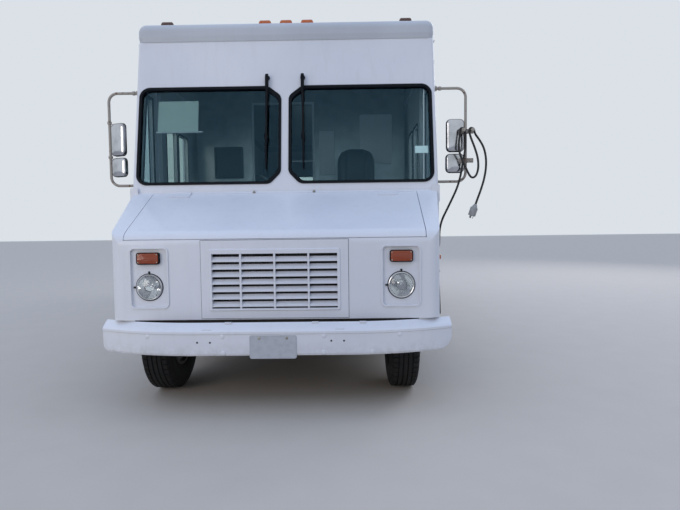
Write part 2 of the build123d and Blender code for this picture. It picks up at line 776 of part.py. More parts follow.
# Roof: a hollow cap that overhangs the walls, tucked in below and rolled at its top
roof_front_y = shield_y(roof_seam_z) - roof_overhang
roof_length = rear_y - roof_front_y
roof_middle_y = roof_front_y + roof_length / 2
roof_height = roof_top_z - roof_seam_z
with BuildPart() as roof_shell:
    with BuildSketch(Plane.XY.offset(roof_seam_z)):
        with Locations((0, roof_middle_y)):
            RectangleRounded(2 * (roof_half - roof_tuck), roof_length - 2 * roof_tuck, 60 - roof_tuck)
    extrude(amount=roof_tuck_height, taper=-math.degrees(math.atan(roof_tuck / roof_tuck_height)))
    with BuildSketch(Plane.XY.offset(roof_seam_z + roof_tuck_height)):
        with Locations((0, roof_middle_y)):
            RectangleRounded(2 * roof_half, roof_length, 60)
    extrude(amount=roof_height - roof_tuck_height)
    fillet(roof_shell.edges().group_by(Axis.Z)[-1], roof_roll)
    with Locations((0, roof_middle_y, roof_seam_z)):
        Box(
            2 * (roof_half - roof_sheet) - 10, roof_length - 2 * roof_sheet - 10, roof_height - roof_sheet,
            align=(Align.CENTER, Align.CENTER, Align.MIN), mode=Mode.SUBTRACT,
        )
roof_shell.part.label = "roof_shell"
export_step(roof_shell.part, "parts/roof_shell.step")

# Rear frame and its two doors
with BuildPart() as rear_frame:
    with Locations((0, rear_y, skirt_z)):
        Box(2 * body_half, wall, roof_seam_z - skirt_z, align=(Align.CENTER, Align.MAX, Align.MIN))
    fillet(rear_frame.edges().filter_by(Axis.Z).group_by(Axis.Y)[-1], 30)
    with Locations((0, rear_y, (floor_z + rear_door_top_z) / 2)):
        Box(2 * rear_door_half, 3 * wall, rear_door_top_z - floor_z, mode=Mode.SUBTRACT)
rear_frame.part.label = "rear_frame"
export_step(rear_frame.part, "parts/rear_frame.step")

rear_hinge_x = rear_door_half + 6
rear_hinge_y = rear_y + hinge_radius + fit_gap
rear_hinge_inset = 180
rear_door_middle_z = (floor_z + rear_door_top_z) / 2
rear_window_low_z = 1700
rear_window_high_z = 2250
rear_window_width = 380
rear_window_height = rear_window_high_z - rear_window_low_z
for name, side in sides:
    leaf_middle_x = side * (rear_door_half / 2)
    leaf_width = rear_door_half - 8
    with BuildPart() as rear_door:
        with BuildSketch(Plane.XZ.offset(-rear_y)):
            with Locations((leaf_middle_x, rear_door_middle_z)):
                Rectangle(leaf_width, rear_door_top_z - floor_z - 12)
            with Locations((leaf_middle_x, (rear_window_low_z + rear_window_high_z) / 2)):
                RectangleRounded(rear_window_width, rear_window_height, 40, mode=Mode.SUBTRACT)
        extrude(amount=wall)
        for hinge_z in (floor_z + rear_hinge_inset, rear_door_middle_z, rear_door_top_z - rear_hinge_inset):
            with Locations((side * rear_hinge_x, rear_hinge_y, hinge_z)):
                Cylinder(hinge_radius, 110)
            with Locations((side * (rear_hinge_x - 6), rear_y, hinge_z)):
                Box(70, 7, 110, align=(Align.MAX if side > 0 else Align.MIN, Align.MIN, Align.CENTER))
    rear_door.part.label = f"rear_door_{name}"
    export_step(rear_door.part, f"parts/rear_door_{name}.step")
    with BuildPart() as rear_glass:
        with BuildSketch(Plane.XZ.offset(-rear_y + wall / 2 - glass_thick / 2)):
            with Locations((leaf_middle_x, (rear_window_low_z + rear_window_high_z) / 2)):
                RectangleRounded(rear_window_width, rear_window_height, 40)
        extrude(amount=glass_thick)
    rear_glass.part.label = f"rear_glass_{name}"
    export_step(rear_glass.part, f"parts/rear_glass_{name}.step")

# Rear bumper, a step plate on two brackets
rear_step_z = 560
rear_step_half = body_half - 103
with BuildPart() as rear_bumper:
    with Locations((0, rear_y, rear_step_z)):
        Box(2 * rear_step_half, rear_step_depth, 90, align=(Align.CENTER, Align.MIN, Align.MAX))
    fillet(rear_bumper.edges().filter_by(Axis.Z).group_by(Axis.Y)[-1], 40)
rear_bumper.part.label = "rear_bumper"
export_step(rear_bumper.part, "parts/rear_bumper.step")

# Tail lamps
tail_lamp_x = body_half - 123
tail_lamp_z = 1000
tail_lamp_pitch = 120
with BuildPart() as tail_lamps:
    for side in (-1, 1):
        with BuildSketch(Plane.XZ.offset(-rear_y)):
            with Locations((side * tail_lamp_x, tail_lamp_z), (side * tail_lamp_x, tail_lamp_z + tail_lamp_pitch)):
                Circle(52)
        extrude(amount=-28)
tail_lamps.part.label = "tail_lamps"
export_step(tail_lamps.part, "parts/tail_lamps.step")

# Serving hatch, hinged along its top, and the fold-down shelf below it
hatch_axis_x = -(body_half + hinge_radius + fit_gap)
hatch_axis_z = hatch_top_z + 2
hatch_middle_y = hatch_front_y + hatch_width / 2
with BuildPart() as serving_hatch:
    with Locations((-body_half + wall / 2, hatch_middle_y, (hatch_top_z + hatch_bottom_z) / 2)):
        Box(wall, hatch_width - 12, hatch_top_z - hatch_bottom_z - 12)
    with BuildSketch(Plane.XZ.offset(-hatch_front_y - hatch_width + 20)):
        with Locations((hatch_axis_x, hatch_axis_z)):
            Circle(hinge_radius)
        with Locations((-body_half, hatch_axis_z - 1)):
            Rectangle(7, 50, align=(Align.MAX, Align.MAX))
    extrude(amount=hatch_width - 40)
serving_hatch.part.label = "serving_hatch"
export_step(serving_hatch.part, "parts/serving_hatch.step")

shelf_axis_z = hatch_bottom_z - 40
shelf_thick = 22
with BuildPart() as service_shelf:
    with Locations((-body_half - fit_gap, hatch_middle_y, shelf_axis_z - 12)):
        Box(shelf_thick, hatch_width - 100, shelf_drop, align=(Align.MAX, Align.CENTER, Align.MAX))
    with BuildSketch(Plane.XZ.offset(-hatch_front_y - hatch_width + 70)):
        with Locations((hatch_axis_x, shelf_axis_z)):
            Circle(hinge_radius)
        with Locations((hatch_axis_x - hinge_radius / 2, shelf_axis_z)):
            Rectangle(hinge_radius, 16, align=(Align.CENTER, Align.MAX))
    extrude(amount=hatch_width - 140)
service_shelf.part.label = "service_shelf"
export_step(service_shelf.part, "parts/service_shelf.step")

# Mirrors: a bent tube on each side, with two heads held to it by clamps with two bolt ends each
head_table = (  # middle height, width, height, clamp height, bolt length
    (1959, 145, 262, 1986, 75),
    (1734, 150, 152, 1752, 8),
)
head_turns = {1: 0, -1: math.radians(23)}
head_depth = 40
clamp_plate = 8
bolt_radius = 10
bolt_spread = 37
with BuildPart() as mirror_arms:
    for side in (-1, 1):
        with BuildLine() as frame_line:
            FilletPolyline(
                (side * body_half, mirror_y, mirror_top_z), (side * mirror_x, mirror_y, mirror_top_z),
                (side * mirror_x, mirror_y, mirror_low_z), (side * body_half, mirror_y, mirror_low_z),
                radius=mirror_bend,
            )
        with BuildSketch(Plane(origin=(side * body_half, mirror_y, mirror_top_z), z_dir=(side, 0, 0))):
            Circle(mirror_tube / 2)
        sweep(path=frame_line.wires()[0])
        for middle_z, width, tall, clamp_z, bolt_length in head_table:
            if side < 0:
                with Locations((side * mirror_x, mirror_y, middle_z + tall / 2 + 10)):
                    Cylinder(mirror_tube / 2 + 6, 20)
                continue
            with Locations((side * mirror_x, mirror_y, clamp_z)):
                Box(mirror_tube, head_depth / 2, 36, align=(Align.CENTER, Align.MAX, Align.CENTER))
            with Locations((side * mirror_x, mirror_y - head_depth / 2, clamp_z)):
                Box(2 * bolt_spread + 40, clamp_plate, 36, align=(Align.CENTER, Align.MAX, Align.CENTER))
            with BuildSketch(Plane.XZ.offset(-mirror_y + head_depth / 2 + clamp_plate)):
                with Locations((side * mirror_x, clamp_z)):
                    with GridLocations(2 * bolt_spread, 0, 2, 1):
                        Circle(bolt_radius)
            extrude(amount=bolt_length)
mirror_arms.part.label = "mirror_arms"
export_step(mirror_arms.part, "parts/mirror_arms.step")

with BuildPart() as mirror_heads:
    for side in (-1, 1):
        across = Vector(math.cos(head_turns[side]), side * math.sin(head_turns[side]), 0)
        backward = Vector(side * math.sin(head_turns[side]), -math.cos(head_turns[side]), 0)
        reach = mirror_tube / 2 / math.cos(head_turns[side]) + fit_gap
        for middle_z, width, tall, clamp_z, bolt_length in head_table:
            hinge_point = (side * (mirror_x - reach), mirror_y, middle_z)
            head_plane = Plane(origin=hinge_point, x_dir=across, z_dir=backward)
            with BuildSketch(head_plane.offset(-head_depth / 2)):
                with Locations((-side * width / 2, 0)):
                    RectangleRounded(width, tall, 34)
            extrude(amount=head_depth - 14)
            with BuildSketch(head_plane.offset(head_depth / 2 - 14)):
                with Locations((-side * width / 2, 0)):
                    RectangleRounded(width, tall, 34)
            extrude(amount=14, taper=40)
mirror_heads.part.label = "mirror_heads"
export_step(mirror_heads.part, "parts/mirror_heads.step")

# Power cord: it leaves a gland beside the cab door, hangs over the mirror's bolt ends and ends in a plug
cord_diameter = 17
cord_route = [  # chosen by hand, from the gland to the plug
    (1232, -2320, 1010), (1266, -2320, 1010), (1278, -2342, 1050), (1272, -2390, 1115), (1262, -2450, 1190),
    (1270, -2505, 1270), (1302, -2545, 1350), (1342, -2570, 1440), (1384, -2580, 1535), (1410, -2582, 1632),
    (1426, -2580, 1728), (1446, -2578, 1830), (1450, -2577, 1920), (1444, -2576, 1965), (1444, -2577, 2007),
    (1402, -2596, 2007), (1401, -2598, 1962), (1386, -2604, 1870), (1396, -2612, 1790), (1430, -2618, 1715),
    (1462, -2618, 1640), (1490, -2616, 1602), (1526, -2612, 1618), (1546, -2608, 1680), (1544, -2602, 1760),
    (1520, -2598, 1845), (1490, -2596, 1920), (1476, -2596, 1965), (1476, -2595, 2007), (1518, -2577, 2007),
    (1522, -2576, 1965), (1562, -2574, 1915), (1600, -2572, 1850), (1618, -2570, 1765), (1617, -2568, 1680),
    (1602, -2567, 1595), (1576, -2566, 1510), (1550, -2565, 1440), (1534, -2565, 1395),
]
route = [Vector(*point) for point in cord_route]
cord_radii = []
for before, corner, after in zip(route, route[1:], route[2:]):
    shorter_run = min((corner - before).length, (after - corner).length)
    half_turn = math.radians((corner - before).get_angle(after - corner)) / 2
    cord_radii.append(0.45 * shorter_run / math.tan(half_turn))
print("cord radii", [round(radius) for radius in cord_radii])

with BuildPart() as power_cord:
    with BuildLine() as cord_line:
        FilletPolyline(*route, radius=cord_radii)
    with BuildSketch(Plane(origin=route[0], z_dir=route[1] - route[0])):
        Circle(cord_diameter / 2)
    sweep(path=cord_line.wires()[0])
cord_length = cord_line.wires()[0].length
cord_volume = cord_length * math.pi * (cord_diameter / 2) ** 2
print("cord length", round(cord_length), "volume share", power_cord.part.volume / cord_volume)
power_cord.part.label = "power_cord"
export_step(power_cord.part, "parts/power_cord.step")

gland_length = route[0].X - body_half
with BuildPart() as cord_gland:
    with BuildSketch(Plane(origin=(body_half, route[0].Y, route[0].Z), z_dir=(1, 0, 0))):
        Rectangle(70, 70)
    extrude(amount=8)
    with BuildSketch(Plane(origin=(body_half, route[0].Y, route[0].Z), z_dir=(1, 0, 0))):
        Circle(cord_diameter / 2 + 9)
    extrude(amount=gland_length)
cord_gland.part.label = "cord_gland"
export_step(cord_gland.part, "parts/cord_gland.step")

plug_length = 96
plug_radius = 30
plug_neck = 30
blade_length = 22
plug_plane = Plane(origin=route[-1], x_dir=(0, 1, 0), z_dir=route[-1] - route[-2])
with BuildPart() as power_plug:
    with BuildSketch(plug_plane):
        Circle(cord_diameter / 2 + 3)
    with BuildSketch(plug_plane.offset(plug_neck)):
        Circle(plug_radius - 4)
    loft()
    with BuildSketch(plug_plane.offset(plug_neck)):
        Circle(plug_radius)
    extrude(amount=plug_length - plug_neck)
    fillet(power_plug.edges().filter_by(GeomType.CIRCLE).filter_by(lambda e: e.radius > plug_radius - 1), 2)
    with BuildSketch(plug_plane.offset(plug_length)):
        with PolarLocations(15, 3):
            Rectangle(3, 9)
    extrude(amount=blade_length)
power_plug.part.label = "power_plug"
export_step(power_plug.part, "parts/power_plug.step")

# Wipers: arms that hang from pivots above the panes
wiper_x = 142
wiper_pivot_z = 2425
wiper_low_z = 1690
wiper_high_z = 2140
with BuildPart() as wipers:
    for side in (-1, 1):
        pivot_up = (wiper_pivot_z - shield_bottom_z) * lean
        low_up = (wiper_low_z - shield_bottom_z) * lean
        high_up = (wiper_high_z - shield_bottom_z) * lean
        with BuildSketch(slab_plane):
            with Locations((side * wiper_x, pivot_up)):
                Circle(16)
        extrude(amount=48)
        with BuildSketch(slab_plane.offset(34)):
            with Locations((side * wiper_x, (pivot_up + (low_up + high_up) / 2) / 2)):
                Rectangle(14, pivot_up - (low_up + high_up) / 2)
        extrude(amount=10)
        with BuildSketch(slab_plane.offset(8)):
            with Locations((side * (wiper_x + 3), (low_up + high_up) / 2)):
                Rectangle(12, high_up - low_up)
        extrude(amount=30)
wipers.part.label = "wipers"
export_step(wipers.part, "parts/wipers.step")

# Dashboard, engine cover, steering column and wheel
dash_high_z = 1500
with BuildPart() as dashboard:
    with BuildSketch(Plane.YZ.offset(-inner_half)):
        with BuildLine():
            Polyline(
                (cowl_y + 30, 1250), (cowl_y + 30, dash_high_z), (cowl_y + 130, dash_high_z),
                (cowl_y + 200, 1380), (cowl_y + 160, 1250), close=True,
            )
        make_face()
    extrude(amount=2 * inner_half)
    cover_half = engine_half + 60
    cover_end_y = engine_front_y + engine_length + 60
    with BuildSketch(Plane.YZ.offset(-cover_half)):
        with BuildLine():
            Polyline(
                (cowl_y + 30, floor_z), (cowl_y + 30, 1260), (cowl_y + 120, 1260),
                (cover_end_y, 1080), (cover_end_y, floor_z), close=True,
            )
        make_face()
    extrude(amount=2 * cover_half)
    with Locations((0, cowl_y, floor_z - 10)):
        Box(
            2 * engine_half + 40, 2 * (engine_front_y + engine_length + 20 - cowl_y), 200,
            align=(Align.CENTER, Align.CENTER, Align.MIN), mode=Mode.SUBTRACT,
        )
    column_foot = Vector(seat_x, cowl_y + 130, 1330)
    column_head = Vector(seat_x, cowl_y + 330, 1430)
    column = Plane(origin=column_foot, z_dir=column_head - column_foot)
    with BuildSketch(column):
        Circle(26)
    extrude(amount=(column_head - column_foot).length)
    wheel_plane = Plane(origin=column_head, x_dir=(1, 0, 0), z_dir=(0, 0.5, 1))
    with BuildSketch(Plane(origin=column_head + Vector(200, 0, 0), x_dir=(1, 0, 0), z_dir=wheel_plane.y_dir)):
        Circle(14)
    revolve(axis=Axis(column_head, wheel_plane.z_dir))
    with BuildSketch(wheel_plane):
        Circle(45)
        Rectangle(390, 34)
        with Locations((0, -95)):
            Rectangle(34, 190)
    extrude(amount=6, both=True)
dashboard.part.label = "dashboard"
export_step(dashboard.part, "parts/dashboard.step")

# Driver's seat: a squab and a tall back with a rounded top
seat_width = 430
seat_depth = 440
squab_thick = 130
seat_back_width = 370
seat_back_thick = 110
seat_top_z = 2000
with BuildPart() as driver_seat:
    squab_front_y = seat_y - seat_depth / 2
    squab_rear_y = seat_y + seat_depth / 2
    with BuildSketch(Plane.YZ.offset(seat_x - seat_width / 2)):
        with BuildLine():
            FilletPolyline(
                (squab_front_y, seat_base_z), (squab_front_y, seat_base_z + squab_thick),
                (squab_rear_y, seat_base_z + squab_thick), (squab_rear_y, seat_base_z), radius=40, close=True,
            )
        make_face()
    extrude(amount=seat_width)
    with BuildSketch(Plane.XZ.offset(-squab_rear_y)):
        with BuildLine():
            FilletPolyline(
                (seat_x - seat_back_width / 2, seat_base_z + 60), (seat_x - seat_back_width / 2, seat_top_z),
                (seat_x + seat_back_width / 2, seat_top_z), (seat_x + seat_back_width / 2, seat_base_z + 60),
                radius=[seat_back_width / 2 - 30, seat_back_width / 2 - 30],
            )
            Line(
                (seat_x + seat_back_width / 2, seat_base_z + 60), (seat_x - seat_back_width / 2, seat_base_z + 60),
            )
        make_face()
    extrude(amount=seat_back_thick)
driver_seat.part.label = "driver_seat"
export_step(driver_seat.part, "parts/driver_seat.step")

# Kitchen: a partition behind the cab, the cook line and the serving counter
counter_front_y = door_front_y + door_width + door_lap + door_travel + 40
counter_rear_y = rear_y - wall - 120
counter_depth = 560
counter_z = 1420
partition_y = door_front_y + door_width + 220
partition_half = door_outer_x - door_thick - 15
counter_length = counter_rear_y - counter_front_y
cook_line_z = counter_z + 330
with BuildPart() as kitchen_fittings:
    with Locations((inner_half, counter_front_y, floor_z)):
        Box(counter_depth, counter_length, cook_line_z - floor_z, align=(Align.MAX, Align.MIN, Align.MIN))
    with Locations((-inner_half, counter_front_y, floor_z)):
        Box(counter_depth - 60, counter_length, counter_z - floor_z, align=(Align.MIN, Align.MIN, Align.MIN))
    with BuildSketch(Plane.XZ.offset(-partition_y)):
        with Locations((0, (floor_z + roof_seam_z) / 2)):
            Rectangle(2 * partition_half, roof_seam_z - floor_z)
        with Locations((-180, floor_z)):
            Rectangle(620, 1650, align=(Align.CENTER, Align.MIN), mode=Mode.SUBTRACT)
    extrude(amount=30)
kitchen_fittings.part.label = "kitchen_fittings"
export_step(kitchen_fittings.part, "parts/kitchen_fittings.step")

# Roof vent over the cook line
vent_x = 450
vent_y = rear_axle_y + 230
with BuildPart() as roof_vent:
    with Locations((vent_x, vent_y, roof_top_z)):
        Cylinder(170, 120, align=(Align.CENTER, Align.CENTER, Align.MIN))
        with Locations((0, 0, 120)):
            Cone(300, 200, 110, align=(Align.CENTER, Align.CENTER, Align.MIN))
roof_vent.part.label = "roof_vent"
export_step(roof_vent.part, "parts/roof_vent.step")

# Fuel tank beside the left rail and exhaust beside the right one
tank_y = front_axle_y + 2470
silencer_front_y = front_axle_y + 1620
pipe_front_y = front_axle_y + 670
exhaust_x = -rail_x - rail_width / 2 - 110
exhaust_z = rail_top_z - 90
with BuildPart() as fuel_tank:
    with Locations((rail_x + rail_width / 2, tank_y, rail_top_z - 20)):
        Box(420, 900, 230, align=(Align.MIN, Align.CENTER, Align.MAX))
    fillet(fuel_tank.edges().filter_by(Axis.Y), 30)
fuel_tank.part.label = "fuel_tank"
export_step(fuel_tank.part, "parts/fuel_tank.step")

with BuildPart() as exhaust_pipe:
    with BuildSketch(Plane.XZ.offset(-silencer_front_y)):
        with Locations((exhaust_x, exhaust_z)):
            Ellipse(110, 80)
    extrude(amount=-650)
    with BuildSketch(Plane.XZ.offset(-pipe_front_y)):
        with Locations((exhaust_x, exhaust_z)):
            Circle(28)
    extrude(amount=-2600)
exhaust_pipe.part.label = "exhaust_pipe"
export_step(exhaust_pipe.part, "parts/exhaust_pipe.step")

# Steering knuckles: a fork round the axle's eye with its pin, and the stub axle
stub_radius = 24
eye_z = beam_top_z - beam_height / 2
for name, side in sides:
    with BuildPart() as knuckle:
        with Locations((side * kingpin_x, front_axle_y, eye_z)):
            Cylinder(14, 130)
        for up in (-1, 1):
            with Locations((side * kingpin_x, front_axle_y, eye_z + up * (eye_height / 2 + fit_gap + 14))):
                Cylinder(34, 28)
                with Locations((side * 30, 0, 0)):
                    Box(60, 60, 28)
        with Locations((side * (kingpin_x + 52), front_axle_y, axle_z - 20)):
            Box(20, 90, 150)
        with BuildSketch(Plane.YZ.offset(side * (kingpin_x + 50))):
            with Locations((front_axle_y, axle_z)):
                Circle(stub_radius)
        extrude(amount=side * (wheel_x + hub_reach - 1 - kingpin_x - 50))
    knuckle.part.label = f"knuckle_{name}"
    export_step(knuckle.part, f"parts/knuckle_{name}.step")


def tyre_profile(middle_x):
    """Half of a tyre's section, in the plane that holds the axle."""
    half = tyre_width / 2
    crown = tyre_diameter / 2
    bead = rim_diameter / 2
    points = (
        (-bead_share, bead), (-bead_share, bead + 14), (-0.5, (crown + bead) / 2 + 6), (-0.42, crown - 12),
        (-0.37, crown - 2), (0, crown), (0.37, crown - 2), (0.42, crown - 12), (0.5, (crown + bead) / 2 + 6),
        (bead_share, bead + 14), (bead_share, bead),
    )
    at = [(middle_x + share * 2 * half, axle_z + radius) for share, radius in points]
    Line(at[0], at[1])
    ThreePointArc(at[1], at[2], at[3])
    Line(at[3], at[4])
    ThreePointArc(at[4], at[5], at[6])
    Line(at[6], at[7])
    ThreePointArc(at[7], at[8], at[9])
    Line(at[9], at[10])
    inner = [(at[10][0] - 16, at[10][1]), (at[9][0] - 18, at[9][1] + 6), (at[7][0] - 14, at[7][1] - 14)]
    other = [(at[3][0] + 14, at[3][1] - 14), (at[1][0] + 18, at[1][1] + 6), (at[0][0] + 16, at[0][1])]
    Polyline(at[10], *inner, *other, at[0])


def rim_profile(middle_x):
    """Half of a wheel's barrel with its flanges, in the plane that holds the axle."""
    gap = bead_share * tyre_width + fit_gap
    half = gap + flange
    seat = axle_z + rim_diameter / 2 - fit_gap
    Polyline(
        (middle_x - half, seat + 12), (middle_x - gap, seat + 12), (middle_x - gap, seat),
        (middle_x - 40, seat), (middle_x - 30, seat - 22), (middle_x + 30, seat - 22), (middle_x + 40, seat),
        (middle_x + gap, seat), (middle_x + gap, seat + 12), (middle_x + half, seat + 12),
        (middle_x + half, seat - 8), (middle_x + 46, seat - 8), (middle_x + 34, seat - 32),
        (middle_x - 34, seat - 32), (middle_x - 46, seat - 8), (middle_x - half, seat - 8), close=True,
    )


for name, side in sides:
    with BuildPart() as front_tyre:
        with BuildSketch(Plane.XZ.offset(-front_axle_y)):
            with BuildLine():
                tyre_profile(side * wheel_x)
            make_face()
        revolve(axis=Axis((0, front_axle_y, axle_z), (1, 0, 0)))
    front_tyre.part.label = f"front_tyre_{name}"
    export_step(front_tyre.part, f"parts/front_tyre_{name}.step")
    with BuildPart() as front_rim:
        with BuildSketch(Plane.XZ.offset(-front_axle_y)):
            with BuildLine():
                rim_profile(side * wheel_x)
            make_face()
            with BuildLine():
                x0 = side * wheel_x
                bore_z = axle_z + stub_radius + fit_gap
                Polyline(
                    (x0 + side * 30, axle_z + 172), (x0 + side * 55, axle_z + 120),
                    (x0 + side * 55, axle_z + 75), (x0 + side * 95, axle_z + 55), (x0 + side * 95, axle_z),
                    (x0 + side * hub_reach, axle_z), (x0 + side * hub_reach, bore_z), (x0 - side * 55, bore_z),
                    (x0 - side * 55, axle_z + 70), (x0 + side * 45, axle_z + 70),
                    (x0 + side * 45, axle_z + 120), (x0 + side * 20, axle_z + 176), close=True,
                )
            make_face()
        revolve(axis=Axis((0, front_axle_y, axle_z), (1, 0, 0)))
        with BuildSketch(Plane.YZ.offset(side * wheel_x)):
            with Locations((front_axle_y, axle_z)):
                with PolarLocations(hand_hole_ring, hand_holes):
                    Circle(hand_hole_radius)
        extrude(amount=side * tyre_width, mode=Mode.SUBTRACT)
    front_rim.part.label = f"front_rim_{name}"
    export_step(front_rim.part, f"parts/front_rim_{name}.step")
    with BuildPart() as rear_tyres:
        with BuildSketch(Plane.XZ.offset(-rear_axle_y)):
            for middle_x in (dual_inner_x, dual_outer_x):
                with BuildLine():
                    tyre_profile(side * middle_x)
                make_face()
        revolve(axis=Axis((0, rear_axle_y, axle_z), (1, 0, 0)))
    rear_tyres.part.label = f"rear_tyres_{name}"
    export_step(rear_tyres.part, f"parts/rear_tyres_{name}.step")
    with BuildPart() as rear_rims:
        with BuildSketch(Plane.XZ.offset(-rear_axle_y)):
            for middle_x in (dual_inner_x, dual_outer_x):
                with BuildLine():
                    rim_profile(side * middle_x)
                make_face()
            with BuildLine():
                hub_x = (dual_inner_x + dual_outer_x) / 2
                bore_z = axle_z + rear_spindle + fit_gap
                Polyline(
                    (side * (dual_inner_x + 20), axle_z + 176), (side * (hub_x - 12), axle_z + 150),
                    (side * (hub_x - 12), axle_z + 80), (side * (hub_inner_x + 8), axle_z + 80),
                    (side * (hub_inner_x + 8), bore_z), (side * (dual_outer_x + 1), bore_z),
                    (side * (dual_outer_x + 1), axle_z),
                    (side * (dual_outer_x + 20), axle_z), (side * (dual_outer_x + 20), axle_z + 60),
                    (side * (hub_x + 12), axle_z + 80), (side * (hub_x + 12), axle_z + 150),
                    (side * (dual_outer_x - 20), axle_z + 176), (side * (dual_outer_x - 30), axle_z + 174),
                    (side * hub_x, axle_z + 160), (side * (dual_inner_x + 30), axle_z + 174), close=True,
                )
            make_face()
        revolve(axis=Axis((0, rear_axle_y, axle_z), (1, 0, 0)))
        with BuildSketch(Plane.YZ.offset(side * (hub_x - tyre_width))):
            with Locations((rear_axle_y, axle_z)):
                with PolarLocations(hand_hole_ring - 18, hand_holes):
                    Circle(hand_hole_radius)
        extrude(amount=side * 2 * tyre_width, mode=Mode.SUBTRACT)
    rear_rims.part.label = f"rear_rims_{name}"
    export_step(rear_rims.part, f"parts/rear_rims_{name}.step")
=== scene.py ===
# %% [markdown]
# # A food truck, dressed around its CAD frame
# The frame holds the walk-in van's solids, in metres: the front faces -Y, the driver's side is +X and
# the ground is Z = 0. This lesson gives each solid a finish, and adds what is too small or too soft
# for solids: tyre tread, lamp lenses, bolt heads, rubber edges, cushions and the power cord.

# %% Load the frame and keep its box
import math
import bmesh
import bpy
from mathutils import Matrix, Vector


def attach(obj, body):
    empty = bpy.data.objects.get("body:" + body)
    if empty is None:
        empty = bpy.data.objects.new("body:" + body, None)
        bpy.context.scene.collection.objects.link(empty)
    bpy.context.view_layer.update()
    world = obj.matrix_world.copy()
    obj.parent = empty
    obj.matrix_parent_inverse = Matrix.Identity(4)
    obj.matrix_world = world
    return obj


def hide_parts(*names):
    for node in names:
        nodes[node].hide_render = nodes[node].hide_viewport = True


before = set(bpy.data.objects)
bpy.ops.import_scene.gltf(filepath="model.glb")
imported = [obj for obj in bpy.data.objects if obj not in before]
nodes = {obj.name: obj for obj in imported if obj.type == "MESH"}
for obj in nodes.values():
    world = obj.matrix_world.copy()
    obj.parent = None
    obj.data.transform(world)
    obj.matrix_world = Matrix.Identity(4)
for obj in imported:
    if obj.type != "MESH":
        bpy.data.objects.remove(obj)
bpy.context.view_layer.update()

# %% [markdown]
# ## The places that many pieces share
# A long build goes wrong when the same number is typed twice, so the van's main planes get names
# here. The windshield wall leans back, so one function says where its face is at each height.

# %% Name the van's main planes
X, Y, Z = Vector((1, 0, 0)), Vector((0, 1, 0)), Vector((0, 0, 1))
SIDES = (("left", 1), ("right", -1))
NOSE_Y = -3.370
FRONT_Y = -3.500
COWL_Y = -2.745
REAR_Y = 3.380
BODY_HALF = 1.203
INNER_HALF = 1.163
ROOF_TOP_Z = 2.898
SHIELD_FOOT_Z = 1.520
SHIELD_SLOPE = 0.217 / 1.224
AXLE_Z = 0.388
FRONT_AXLE_Y = -2.820
REAR_AXLE_Y = 1.170
MIRROR_X = 1.460
MIRROR_Y = -2.530


def shield_y(z):
    """The windshield wall's outer face at a height."""
    return COWL_Y + (z - SHIELD_FOOT_Z) * SHIELD_SLOPE


SHIELD_UP = Vector((0, SHIELD_SLOPE, 1)).normalized()
SHIELD_OUT = Vector((0, -1, SHIELD_SLOPE)).normalized()
print("windshield wall leans", round(math.degrees(math.atan(SHIELD_SLOPE)), 1), "degrees")

# %% [markdown]
# ## Small tools for meshes
# Most fittings on a van are turned, pressed or bent from tube. All of these are skins through
# sections, so one function makes the skin, and short ones give it turned, flat, framed, domed and
# bent sections. A piece is started with its name and finish, filled, and finished at its cell's end.

# %% Tools that give points
CORNER_STEPS = 6


def facing(direction):
    """A rotation whose z axis points along a direction."""
    z_axis = Vector(direction).normalized()
    x_axis = (Y if abs(z_axis.z) > 0.99 else Z).cross(z_axis).normalized()
    return Matrix((x_axis, z_axis.cross(x_axis), z_axis)).transposed()


def around(count, radius=1.0, shift=0.0):
    """Evenly spaced (u, v) points on a circle."""
    angles = [math.tau * (number + shift) / count for number in range(count)]
    return [(radius * math.cos(angle), radius * math.sin(angle)) for angle in angles]


def spaced(start, stop, step):
    """Evenly spaced places between two ends, with both ends used."""
    count = max(round((stop - start) / step), 1)
    return [start + (stop - start) * number / count for number in range(count + 1)]


def outline(shape):
    """An outline: a list of points as it is, or a rectangle from (width, height, corner radius)."""
    if isinstance(shape, list):
        return shape
    width, height, radius = shape
    points = []
    for corner_u, corner_v, start in ((1, 1, 0), (-1, 1, 90), (-1, -1, 180), (1, -1, 270)):
        for step in range(CORNER_STEPS + 1):
            angle = math.radians(start + 90 * step / CORNER_STEPS)
            points.append((
                corner_u * (width / 2 - radius) + radius * math.cos(angle),
                corner_v * (height / 2 - radius) + radius * math.sin(angle),
            ))
    return points


def lifted(shape, lift, origin, u_axis, v_axis):
    """An outline's points on a plane, lifted along u x v."""
    u_axis, v_axis = u_axis.normalized(), v_axis.normalized()
    start = Vector(origin) + u_axis.cross(v_axis) * lift
    return [start + u * u_axis + v * v_axis for u, v in outline(shape)]


def box_outline(low_u, low_v, high_u, high_v):
    """A rectangle with sharp corners."""
    return [(low_u, low_v), (high_u, low_v), (high_u, high_v), (low_u, high_v)]


def bent(points, radius, steps=5):
    """Points with each inner corner rounded, as a tube bender leaves them."""
    points = [Vector(point) for point in points]
    path = [points[0]]
    for before, corner, after in zip(points, points[1:], points[2:]):
        run_in, run_out = (before - corner).normalized(), (after - corner).normalized()
        half = run_in.angle(run_out) / 2
        cut = radius / math.tan(half)
        middle = corner + (run_in + run_out).normalized() * (radius / math.sin(half))
        start, stop = corner + run_in * cut - middle, corner + run_out * cut - middle
        for step in range(steps + 1):
            path.append(middle + start.slerp(stop, step / steps).normalized() * radius)
    return path + [points[-1]]


print("point tools ready")

# %% Tools that add forms to a bmesh
def add_block(bm, low, high, turn=None):
    """A block between two corners, turned about its middle where a matrix is given."""
    low, high = Vector(tuple(map(min, low, high))), Vector(tuple(map(max, low, high)))
    place = Matrix.Translation((low + high) / 2)
    if turn is not None:
        place = place @ turn.to_4x4()
    bmesh.ops.create_cube(bm, size=1, matrix=place @ Matrix.Diagonal((*(high - low), 1)))


